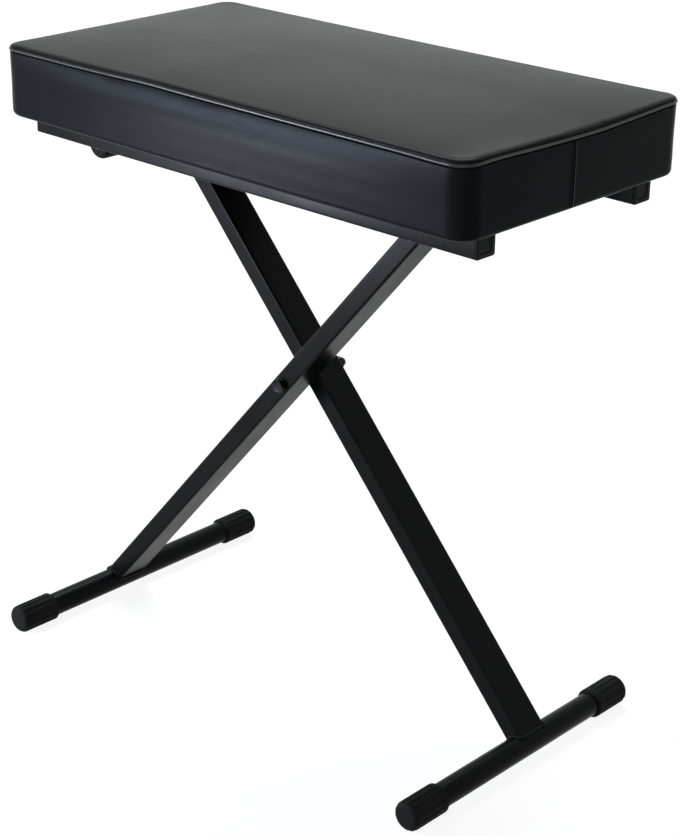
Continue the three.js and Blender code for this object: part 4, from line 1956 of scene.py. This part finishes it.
    def top_rings(self) -> list[np.ndarray]:
        """Rings from the groove out over the piping and in over the shoulder.

        Returns:
            The rings, lowest first.
        """
        size = self.sizes
        stations = []
        start = size.groove_height * size.groove_lip
        for share in self.UPPER_TURNS:
            turn = share * math.pi / 2
            inset = size.shoulder_start + size.groove_depth * (1 - math.cos(turn))
            stations.append((inset, start * (1 - math.sin(turn))))
        for step in range(self.SHOULDER_ROWS + 1):
            turn = math.pi / 2 * step / self.SHOULDER_ROWS
            inset = size.shoulder_start + size.shoulder_inset * (1 - math.cos(turn))
            stations.append((inset, start + (size.shoulder_height - start) * math.sin(turn)))
        rings = []
        for number, (inset, rise) in enumerate(stations):
            ring = self.shaped(self.inset_ring(inset, least=size.top_corner))
            fade = 1 - number / len(stations) * size.top_fade
            rings.append(self.lifted(ring, self.seam + rise, fade))
        return rings

    def top_grid(self, edge: np.ndarray) -> np.ndarray:
        """A grid of points over the top.

        Args:
            edge: the ring that its outer points lie on.

        Returns:
            The points, by row and column.
        """
        rows, columns = self.perimeter.short_count, self.perimeter.long_count
        right = edge[: rows + 1]
        back = edge[rows : rows + columns + 1][::-1]
        left = edge[rows + columns : 2 * rows + columns + 1][::-1]
        front = np.concatenate([edge[2 * rows + columns :], edge[:1]])
        u = np.linspace(0, 1, columns + 1)[None, :, None]
        v = ((right[:, 1] - right[0, 1]) / (right[-1, 1] - right[0, 1]))[:, None, None]
        ruled_u = left[:, None, :] * (1 - u) + right[:, None, :] * u
        ruled_v = front[None, :, :] * (1 - v) + back[None, :, :] * v
        corners = (
            front[0] * (1 - u) * (1 - v)
            + front[-1] * u * (1 - v)
            + back[0] * (1 - u) * v
            + back[-1] * u * v
        )
        grid = ruled_u + ruled_v - corners
        size = self.sizes
        rim = size.shoulder_inset + size.shoulder_start
        inside_x = 1 - np.abs(grid[..., 0] / (size.seam_length / 2 - rim)) ** size.crown_x
        inside_y = 1 - (grid[..., 1] / (size.seam_depth / 2 - rim)) ** 2
        dome = np.clip(inside_x, 0, 1) ** size.crown_fall * np.clip(inside_y, 0, 1)
        grid[..., 2] += size.crown * dome
        return grid

    def closed_form(self, name: str, pocket: bool) -> bpy.types.Object:
        """The cushion's whole form.

        Args:
            name: the piece's name.
            pocket: true if it has the pocket that the board fills.

        Returns:
            The object.
        """
        size = self.sizes
        rings = []
        if pocket:
            inner = self.perimeter.ring(size.pocket_length, size.pocket_depth, size.pocket_corner)
            rings.append(self.lifted(inner, self.bottom + size.pocket_top, 0.0))
            rings.append(self.lifted(inner, self.bottom, 0.0))
        rings += self.side_rings() + self.top_rings()
        count = len(rings[0])
        points = np.concatenate(rings)
        faces = skin_faces(len(rings), count, False)[:-2]
        faces.append(tuple(reversed(range(count))))
        grid = self.top_grid(rings[-1])
        start = len(points)
        rows, columns = grid.shape[:2]
        for row in range(rows - 1):
            for column in range(columns - 1):
                here = start + row * columns + column
                faces.append((here, here + 1, here + columns + 1, here + columns))
        points = np.concatenate([points, grid.reshape(-1, 3)]) + np.array(self.middle)
        return mesh_object(name, points, faces, sharp=60.0)

    def held(self, place: Vector) -> bool:
        """True where a seam or the board holds the cloth.

        Args:
            place: the place, from the cushion's middle.

        Returns:
            Whether it's held there.
        """
        inside_x = self.sizes.seam_length / 2 - abs(place.x)
        inside_y = self.sizes.seam_depth / 2 - abs(place.y)
        level = self.seam + self.seam_lift(place.x, place.y)
        at_side = min(inside_x, inside_y) < self.MOVE.seam_side
        on_seam = at_side and abs(place.z - level) < self.MOVE.seam_band
        return on_seam or place.z < self.bottom + self.MOVE.foot

    def simulated(self, cover: bpy.types.Object) -> None:
        """Moves the cover as a cloth under pressure would sit between its seams.

        Args:
            cover: the cover.
        """
        move = self.MOVE
        trial = self.closed_form("cover_trial", pocket=False)
        remesh = trial.modifiers.new("voxels", "REMESH")
        remesh.mode = "VOXEL"
        remesh.voxel_size = move.voxel
        mesh = evaluated_mesh(trial)
        trial.modifiers.clear()
        trial.data = mesh
        still = np.array([self.held(vertex.co - self.middle) for vertex in mesh.vertices])
        group = trial.vertex_groups.new(name=self.CLOTH.vertex_group_mass)
        group.add(np.flatnonzero(still).tolist(), 1.0, "REPLACE")
        before = np.array([vertex.co for vertex in mesh.vertices])
        cloth = trial.modifiers.new("cloth", "CLOTH")
        for name, value in asdict(self.CLOTH).items():
            setattr(cloth.settings, name, value)
        cloth.settings.effector_weights.gravity = 0
        cloth.point_cache.frame_start = 1
        cloth.point_cache.frame_end = move.frames
        scene = bpy.context.scene
        for frame_number in range(1, move.frames + 1):
            scene.frame_set(frame_number)
        after = np.array([vertex.co for vertex in evaluated_mesh(trial).vertices])
        trial.modifiers.clear()
        scene.frame_set(1)
        shift = self.evened(mesh, after - before, still, move.rounds)
        reach = np.linalg.norm(shift, axis=1)
        LOG.info("cover moved %.2f mm, %.2f mm at most", reach.mean() / MM, reach.max() / MM)
        shift *= (move.most * np.tanh(reach / move.most) / np.maximum(reach, 1e-9))[:, None]
        self.take_over(cover, mesh, before, shift)
        bpy.data.objects.remove(trial)

    @staticmethod
    def evened(
        mesh: bpy.types.Mesh, shift: np.ndarray, still: np.ndarray, rounds: int
    ) -> np.ndarray:
        """Averages the movement over neighbours: a cover drawn tight has no small folds.

        Args:
            mesh: the mesh that moved.
            shift: its points' movement.
            still: true for the points that are held.
            rounds: how often it's averaged.

        Returns:
            The new movement.
        """
        edges = np.array([edge.vertices for edge in mesh.edges])
        count = np.maximum(np.bincount(edges.ravel(), minlength=len(shift)), 1)[:, None]
        for _ in range(rounds):
            total = np.zeros_like(shift)
            np.add.at(total, edges[:, 0], shift[edges[:, 1]])
            np.add.at(total, edges[:, 1], shift[edges[:, 0]])
            shift = total / count
            shift[still] = 0
        return shift

    def take_over(
        self, cover: bpy.types.Object, mesh: bpy.types.Mesh, before: np.ndarray, shift: np.ndarray
    ) -> None:
        """Carries the movement of the simulated mesh over to the cover.

        Args:
            cover: the cover.
            mesh: the simulated mesh.
            before: its points before.
            shift: their movement.
        """
        mesh.calc_loop_triangles()
        triangles = [tuple(t.vertices) for t in mesh.loop_triangles]
        tree = BVHTree.FromPolygons([tuple(p) for p in before], triangles)
        for vertex in cover.data.vertices:
            near, _, index, _ = tree.find_nearest(vertex.co)
            corners = [Vector(before[i]) for i in triangles[index]]
            pushes = [Vector(shift[i]) for i in triangles[index]]
            height = vertex.co.z - self.bottom
            hold = eased_share((height - self.MOVE.hold_start) / self.MOVE.hold_rise)
            vertex.co += barycentric_transform(near, *corners, *pushes) * hold

    def build_cover(self) -> None:
        """The cover, simulated as a cloth."""
        cover = self.closed_form("cushion_cover", pocket=True)
        self.simulated(cover)
        cover.data.update()
        settle(cover, Body.SEAT, VINYL, "seat_cushion")

    def build_piping(self) -> None:
        """The piped seam round the top."""
        ring = self.shaped(self.inset_ring(self.sizes.piping_inset))
        points = [Vector(point) + self.middle for point in self.lifted(ring, self.seam, 1.0)]
        piping = path_object("cushion_piping", points, closed=True)
        grown(piping, self.beads.group, self.PIPED_BEAD.inputs(PIPING))
        settle(piping, Body.SEAT, PIPING)

    def build_staples(self) -> None:
        """The rows of staples that hold the lining to the board, clear of the rails."""
        size = self.STAPLES
        low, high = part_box("seat_lining")
        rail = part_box("rear_rail")[0].y
        left, right = low.x + size.inset, high.x - size.inset
        near, far = low.y + size.inset, high.y - size.inset
        level = low.z - size.thick / 2
        rows = {
            "near": ((left + size.margin, near), (right - size.margin, near)),
            "right": ((right, size.margin - rail), (right, rail - size.margin)),
            "far": ((right - size.margin, far), (left + size.margin, far)),
            "left": ((left, rail - size.margin), (left, size.margin - rail)),
        }
        for seed, (side, ends) in enumerate(rows.items()):
            path = path_object(f"lining_staples_{side}", [(x, y, level) for x, y in ends], False)
            values = {
                "Spacing": size.spacing,
                "Size": (size.length, size.width, size.thick),
                "Slant": size.slant,
                "Seed": seed,
                "Material": ZINC.material(),
            }
            grown(path, self.staples.group, values)
            settle(path, Body.SEAT, ZINC)

    def build(self) -> None:
        """Makes the cushion's pieces."""
        self.build_cover()
        self.build_piping()
        self.build_staples()


# Carried nodes


class CarriedNodes:
    """Frame nodes that are shown as they are, with eased edges and a finish."""

    FINISHES = {
        "seat_board": PLYWOOD,
        "seat_lining": LINING,
        "hinge_axle": ZINC,
        "front_height_bracket": BLACK_STEEL,
        "rear_height_bracket": BLACK_STEEL,
        "front_pivot_sleeve": ZINC,
        "rear_pivot_sleeve": ZINC,
        "hinge_bush_near": NYLON,
        "hinge_bush_far": NYLON,
        "front_rail_left_tee_nut": ZINC,
        "front_rail_right_tee_nut": ZINC,
        "rear_rail_left_tee_nut": ZINC,
        "rear_rail_right_tee_nut": ZINC,
    }
    WELD = {"merge_threshold": 1e-6}
    BEVEL = {
        "width": 0.00025,
        "segments": 2,
        "limit_method": "ANGLE",
        "angle_limit": math.radians(40),
        "harden_normals": True,
    }

    def __init__(self, nodes: dict[str, bpy.types.Object]) -> None:
        """Takes the frame's nodes by name."""
        self.nodes = nodes

    def dress(self, name: str, finish: Finish) -> None:
        """Welds, eases and finishes one node by modifiers, without moving its points.

        Args:
            name: the node's name.
            finish: its finish.
        """
        node = self.nodes[name]
        for kind, settings in (("WELD", self.WELD), ("BEVEL", self.BEVEL)):
            modifier = node.modifiers.new(kind.lower(), kind)
            for key, value in settings.items():
                setattr(modifier, key, value)
        for index in range(max(len(node.data.materials), 1)):
            if index < len(node.data.materials):
                node.data.materials[index] = finish.material()
            else:
                node.data.materials.append(finish.material())
        LOG.info("%s carried over, %s", name, finish.name)

    def build(self) -> None:
        """Dresses every carried node."""
        for name, finish in self.FINISHES.items():
            self.dress(name, finish)


# Studio


@dataclass(frozen=True)
class CameraSizes:
    """Where the camera stands and how it looks, in metres, degrees and millimetres."""

    place: tuple[float, float, float] = (1.3372, -1.4190, 1.1265)
    yaw: float = 42.749
    pitch: float = 23.053
    roll: float = 0.8046
    lens: float = 87.734
    sensor: float = 36.0
    sight: float = 100.0


@dataclass(frozen=True)
class SoftBox:
    """A square soft light that faces the seat."""

    name: str
    place: tuple[float, float, float]
    target: tuple[float, float, float]
    size: float
    power: float
    colour: str


@dataclass(frozen=True)
class Backdrop:
    """The floor's and the world's tones, and the floor's sizes in metres.

    Attributes:
        reach: half the floor's width.
        dark: the paper's darker tone.
        light: its lighter one.
        patch: the size of its patches, in millimetres.
        near: how far from the middle its glow starts to rise.
        far: how far out it's full.
        near_glow: the glow under the bench, where its shadow shows.
        far_glow: the glow far out.
        fill: the world's light on the object.
        white: the world as the camera and reflections see it.
    """

    reach: float = 12.0
    dark: str = "#7e7e7e"
    light: str = "#828282"
    patch: float = 400.0
    near: float = 0.6
    far: float = 2.5
    near_glow: float = 0.88
    far_glow: float = 0.97
    fill: float = 0.15
    white: float = 1.0


class Studio:
    """Camera, floor, background and lights."""

    BOXES = (
        SoftBox("key_front_left", (-1.62, -2.1, 0.62), (0, 0, 0.6), 0.66, 74.0, "#d9e5f8"),
        SoftBox("low_front_left", (-0.69, -0.92, 0.28), (0, -0.1, 0.6), 0.22, 8.5, "#dfe9f8"),
        SoftBox("top_back_left", (-1.0, 1.0, 2.8), (0, 0, 0.4), 1.3, 55.0, "#f1f7f2"),
        SoftBox("low_back_left", (-1.5, 2.5, 1.35), (0, 0, 0.6), 2.2, 2.0, "#e2f5e6"),
        SoftBox("edge_front_right", (1.1, -1.6, 1.41), (0, 0, 0.35), 0.7, 9.0, "#ffffff"),
    )

    def __init__(self, camera: CameraSizes, backdrop: Backdrop) -> None:
        """Takes the sizes."""
        self.camera = camera
        self.backdrop = backdrop

    def build_camera(self) -> None:
        """The camera, fitted to the photograph's edges."""
        size = self.camera
        yaw, pitch, roll = (math.radians(a) for a in (size.yaw, size.pitch, size.roll))
        forward = Vector(
            (-math.sin(yaw) * math.cos(pitch), math.cos(yaw) * math.cos(pitch), -math.sin(pitch))
        )
        level = Vector((math.cos(yaw), math.sin(yaw), 0))
        upright = level.cross(forward)
        right = level * math.cos(roll) + upright * math.sin(roll)
        up = upright * math.cos(roll) - level * math.sin(roll)
        turn = Matrix((right, up, -forward)).transposed().to_4x4()
        data = bpy.data.cameras.new("photo_camera")
        data.sensor_width = size.sensor
        data.lens = size.lens
        data.clip_end = size.sight
        camera = linked("photo_camera", data)
        camera.matrix_world = Matrix.Translation(size.place) @ turn
        bpy.context.scene.camera = camera

    def seen(self, tree: bpy.types.NodeTree) -> bpy.types.NodeSocket:
        """One where the camera, a reflection or a look through glass sees the surface.

        Args:
            tree: the material's or the world's tree.

        Returns:
            The value, zero where a diffuse ray meets it.
        """
        path = add_node(tree, "ShaderNodeLightPath").outputs
        seen = path["Is Camera Ray"]
        for ray in ("Is Glossy Ray", "Is Transmission Ray"):
            seen = add_node(
                tree, "ShaderNodeMath", {0: seen, 1: path[ray]}, operation="ADD", use_clamp=True
            ).outputs[0]
        return seen

    def build_floor(self) -> None:
        """A wide white floor that takes the bench's shadow."""
        size = self.backdrop
        material = bpy.data.materials.new("white_paper_floor")
        material.use_nodes = True
        tree = material.node_tree
        tree.nodes.clear()
        place = add_node(tree, "ShaderNodeTexCoord").outputs["Object"]
        tones = {6: linear(size.dark), 7: linear(size.light)}
        tones[0] = mottling(tree, place, size.patch)
        tone = add_node(tree, "ShaderNodeMix", tones, data_type="RGBA").outputs[2]
        paper = add_node(tree, "ShaderNodeBsdfDiffuse", {"Color": tone})
        away = add_node(tree, "ShaderNodeVectorMath", {0: place}, operation="LENGTH")
        level = {"Value": away.outputs["Value"], "From Min": size.near, "From Max": size.far}
        level |= {"To Min": size.near_glow, "To Max": size.far_glow}
        glow_level = add_node(tree, "ShaderNodeMapRange", level).outputs[0]
        strength = add_node(
            tree, "ShaderNodeMath", {0: self.seen(tree), 1: glow_level}, operation="MULTIPLY"
        ).outputs[0]
        glow = add_node(tree, "ShaderNodeEmission", {"Color": WHITE, "Strength": strength})
        both = add_node(tree, "ShaderNodeAddShader", {0: paper.outputs[0], 1: glow.outputs[0]})
        add_node(tree, "ShaderNodeOutputMaterial", {"Surface": both.outputs[0]})
        ways = ((-1, -1), (1, -1), (1, 1), (-1, 1))
        mesh = bpy.data.meshes.new("floor")
        corners = [(x * size.reach, y * size.reach, 0) for x, y in ways]
        mesh.from_pydata(corners, [], [(0, 1, 2, 3)])
        mesh.materials.append(material)
        linked("floor", mesh)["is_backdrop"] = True

    def build_world(self) -> None:
        """White where the camera or a reflection sees it, and a dim fill otherwise."""
        world = bpy.data.worlds.new("white_studio")
        bpy.context.scene.world = world
        world.use_nodes = True
        tree = world.node_tree
        tree.nodes.clear()
        levels = {"To Min": self.backdrop.fill, "To Max": self.backdrop.white}
        levels["Value"] = self.seen(tree)
        strength = add_node(tree, "ShaderNodeMapRange", levels).outputs[0]
        lit = add_node(tree, "ShaderNodeBackground", {"Color": WHITE, "Strength": strength})
        add_node(tree, "ShaderNodeOutputWorld", {"Surface": lit.outputs[0]})

    def build_lights(self) -> None:
        """The soft boxes."""
        for box in self.BOXES:
            data = bpy.data.lights.new(box.name, "AREA")
            data.shape = "SQUARE"
            data.size = box.size
            data.energy = box.power
            data.color = linear(box.colour)[:3]
            lamp = linked(box.name, data)
            way = Vector(box.target) - Vector(box.place)
            lamp.matrix_world = (
                Matrix.Translation(box.place) @ way.to_track_quat("-Z", "Y").to_matrix().to_4x4()
            )
            lamp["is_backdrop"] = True

    def build(self) -> None:
        """Makes the whole studio."""
        bpy.context.scene.view_settings.view_transform = "Standard"
        self.build_camera()
        self.build_floor()
        self.build_world()
        self.build_lights()


FRONT_LEG = LegSizes("front", Body.FRONT_LEG, 49.23, 1, "hinge_tube")
REAR_LEG = LegSizes("rear", Body.REAR_LEG, 47.64, -1, "height_bar")


def main() -> None:
    """Builds the looks in order."""
    logging.basicConfig(level=logging.INFO, format="%(name)s: %(message)s")
    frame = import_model()
    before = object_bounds()
    beads = BeadTree()
    staples = StapleTree()
    Studio(CameraSizes(), Backdrop()).build()
    for sizes in (FRONT_LEG, REAR_LEG):
        LegFrame(sizes, beads).build()
    for end in ("near", "far"):
        cap = RubberCap(f"height_bar_cap_{end}", Body.REAR_LEG, CapSizes(flutes=0))
        cap.build(REAR_LEG.cross_radius)
    Pivot(PivotSizes()).build()
    SeatFrame(RailSizes(), ScrewSizes()).build()
    Cushion(CushionSizes(), beads, staples).build()
    CarriedNodes(frame["nodes"]).build()
    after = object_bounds()
    sizes = {
        "before": [list(corner) for corner in before],
        "after": [list(corner) for corner in after],
    }


if __name__ == "__main__":
    main()
